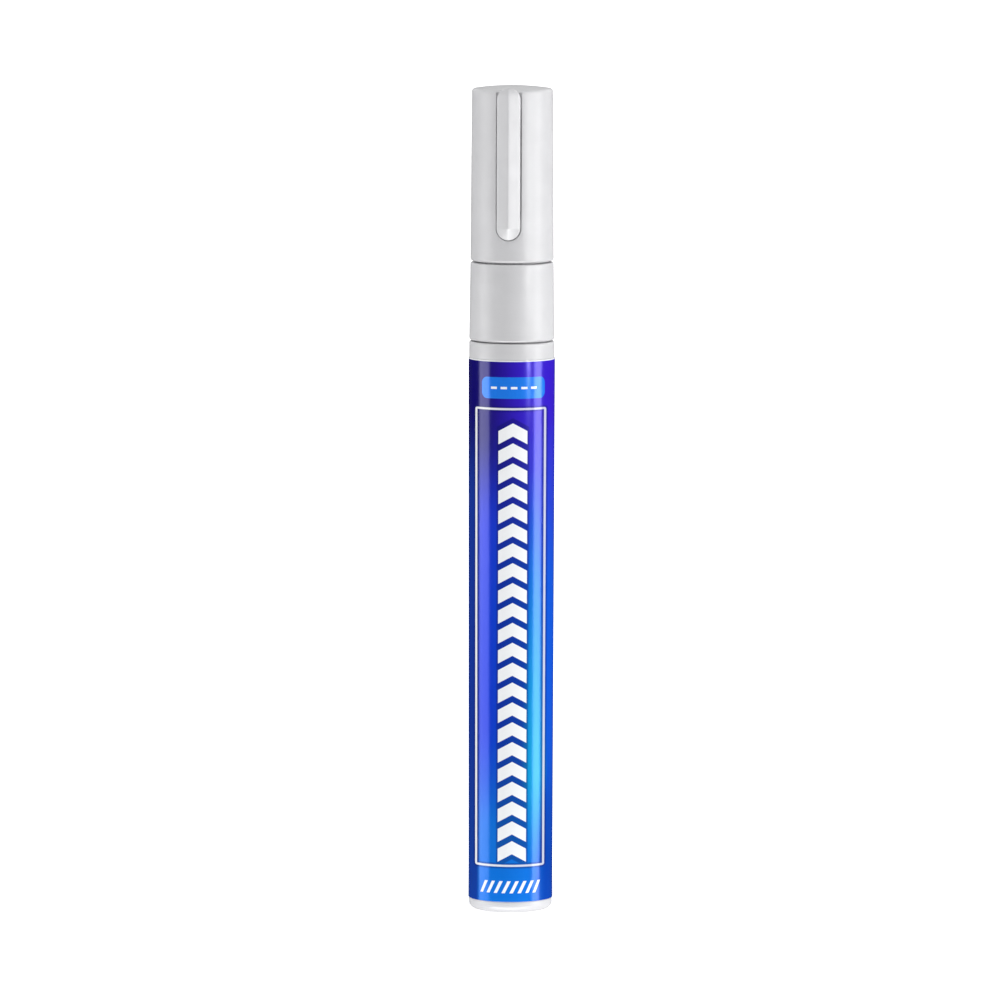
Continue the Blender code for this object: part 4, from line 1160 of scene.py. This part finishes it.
def add_pieces():
    made = looks()
    rows = [
        ("barrel_body", barrel_mesh(), "white_plastic", "barrel", "barrel"),
        ("printed_label", label_mesh(), "label_film", "label_sleeve", "barrel"),
        ("grip_section", section_mesh(), "white_plastic", "front_section", "barrel"),
        ("fibre_nib", nib_mesh(), "nib_fibre", "nib", "nib"),
        ("seal_washer", seal_mesh(), "seal_rubber", "valve_seal", "barrel"),
        ("spring_cage", cage_mesh(), "valve_plastic", "valve_cage", "barrel"),
        ("plunger_stem", plunger_mesh(), "valve_plastic", "valve_plunger", "plunger"),
        ("coil_spring", spring_mesh(), "spring_steel", "valve_spring", "barrel"),
        ("clip_cap", cap_mesh(), "white_plastic", "cap", "cap"),
        ("cap_liner", cup_mesh(), "soft_plastic", "inner_cap", "cap"),
        ("shaker_ball_1", ball_mesh("mixing_ball_1"), "ball_steel", "mixing_ball_1", "ball_1"),
        ("shaker_ball_2", ball_mesh("mixing_ball_2"), "ball_steel", "mixing_ball_2", "ball_2"),
    ]
    pieces = {}
    for name, mesh, look, node, body in rows:
        pieces[name] = add_piece(name, mesh, made[look], node, body)
    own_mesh(pieces["coil_spring"])


def add_camera():
    """The camera at the photograph's angle, with the marker a little right of its middle."""
    outward = Vector((math.sin(CAMERA_AZIMUTH), -math.cos(CAMERA_AZIMUTH), 0))
    sideways = Vector((math.cos(CAMERA_AZIMUTH), math.sin(CAMERA_AZIMUTH), 0)) * -AIM_LEFT
    place = outward * CAMERA_DISTANCE + sideways + Vector((0, 0, CAMERA_HEIGHT))
    target = sideways + Vector((0, 0, AIM_HEIGHT))
    data = bpy.data.cameras.new("camera")
    data.lens = CAMERA_LENS
    data.sensor_width = CAMERA_SENSOR
    data.clip_start = NEAREST_SEEN
    data.clip_end = FURTHEST_SEEN
    camera = bpy.data.objects.new("camera", data)
    camera.location = place
    camera.rotation_euler = (target - place).to_track_quat("-Z", "Y").to_euler()
    camera.rotation_euler.rotate_axis("Z", CAMERA_ROLL)
    bpy.context.scene.collection.objects.link(camera)
    bpy.context.scene.camera = camera


def add_lamp(name, azimuth, elevation, distance, size, radiance, aim_height, lights_surfaces):
    """A lamp at an azimuth from the camera's side, positive to its right, facing the marker."""
    bearing = CAMERA_AZIMUTH + math.radians(azimuth)
    flat = distance * math.cos(math.radians(elevation))
    data = bpy.data.lights.new(name, "AREA")
    data.shape = "RECTANGLE"
    data.size, data.size_y = size
    data.energy = radiance * size[0] * size[1] * LAMP_POWER
    lamp = bpy.data.objects.new(name, data)
    target = Vector((0, 0, aim_height))
    rise = distance * math.sin(math.radians(elevation))
    lamp.location = target + Vector((flat * math.sin(bearing), -flat * math.cos(bearing), rise))
    lamp.rotation_mode = "QUATERNION"
    lamp.rotation_quaternion = (target - lamp.location).to_track_quat("-Z", "Y")
    lamp.visible_camera = False
    lamp.visible_diffuse = lights_surfaces
    bpy.context.scene.collection.objects.link(lamp)


def seen_rays(tree):
    """1 for rays from the camera and for those by way of a glossy or clear surface."""
    path = add_node(tree, "ShaderNodeLightPath")
    glossy = calc(tree, "MAXIMUM", path.outputs["Is Glossy Ray"], path.outputs["Is Transmission Ray"])
    return calc(tree, "MAXIMUM", path.outputs["Is Camera Ray"], glossy)


def add_world():
    """Soft light from all round, and plain white where the world itself is seen."""
    world = bpy.data.worlds.new("studio")
    world.use_nodes = True
    tree = world.node_tree
    tree.nodes.clear()
    soft = add_node(tree, "ShaderNodeBackground", {"Color": WHITE, "Strength": WORLD_STRENGTH})
    white = add_node(tree, "ShaderNodeBackground", {"Color": WHITE, "Strength": 1.0})
    values = {0: seen_rays(tree), 1: soft.outputs[0], 2: white.outputs[0]}
    both = add_node(tree, "ShaderNodeMixShader", values)
    add_node(tree, "ShaderNodeOutputWorld", {0: both.outputs[0]})
    bpy.context.scene.world = world


def set_piece(name, shape):
    """A piece of the set, with its empty node tree and the place coordinates in it."""
    piece = bpy.data.objects.new(name, finished(name, shape))
    bpy.context.scene.collection.objects.link(piece)
    look = bpy.data.materials.new(name)
    look.use_nodes = True
    tree = look.node_tree
    tree.nodes.clear()
    piece.data.materials.append(look)
    return piece, tree, add_node(tree, "ShaderNodeTexCoord").outputs["Object"]


def add_floor():
    """A pale floor that keeps the marker's shadow and brightens into the white background.

    Near the marker it also lights rough surfaces, unseen, as a light table would light the foot.
    """
    shape = bmesh.new()
    bmesh.ops.create_circle(shape, cap_ends=True, segments=FLOOR_SEGMENTS, radius=FLOOR_RADIUS)
    floor, tree, place = set_piece("floor", shape)
    reach = add_node(tree, "ShaderNodeVectorMath", {0: place}, operation="LENGTH").outputs["Value"]
    seen = seen_rays(tree)
    lift = times(tree, ramp(tree, reach, *FLOOR_LIFT), seen)
    table = times(tree, ramp(tree, reach, *FLOOR_GLOW), calc(tree, "SUBTRACT", 1.0, seen))
    strength = calc(tree, "ADD", lift, table)
    paper = add_node(tree, "ShaderNodeBsdfDiffuse", {"Color": FLOOR_GREY})
    glow = add_node(tree, "ShaderNodeEmission", {"Color": WHITE, "Strength": strength})
    both = add_node(tree, "ShaderNodeAddShader", {0: paper.outputs[0], 1: glow.outputs[0]})
    add_node(tree, "ShaderNodeOutputMaterial", {0: both.outputs[0]})
    floor.visible_glossy = False
    floor.visible_shadow = False


def add_cards():
    """Dark cards in a ring round the set, seen only in reflections, that keep the print's colour deep."""
    shape = bmesh.new()
    bmesh.ops.create_cone(
        shape, segments=CARDS_SEGMENTS, radius1=CARDS_RADIUS, radius2=CARDS_RADIUS, depth=CARDS_HEIGHT
    )
    cards, tree, place = set_piece("dark_cards", shape)
    cards.location.z = -CARDS_DROP
    axes = add_node(tree, "ShaderNodeSeparateXYZ", {0: place})
    height = ramp(tree, axes.outputs[2], *CARDS_RISE)
    behind = ramp(tree, axes.outputs[1], *CARDS_BACK)
    strength = ramp(tree, times(tree, height, behind), 0.0, 1.0, *CARDS_STRENGTH)
    dim = add_node(tree, "ShaderNodeEmission", {"Color": WHITE, "Strength": strength})
    add_node(tree, "ShaderNodeOutputMaterial", {0: dim.outputs[0]})
    cards.visible_camera = False
    cards.visible_diffuse = False
    cards.visible_shadow = False
    cards.visible_transmission = False


def main():
    add_pieces()
    add_camera()
    add_world()
    add_floor()
    add_cards()
    for name, values in LAMPS.items():
        add_lamp(name, *values)
    bpy.context.scene.view_settings.view_transform = "Standard"


main()
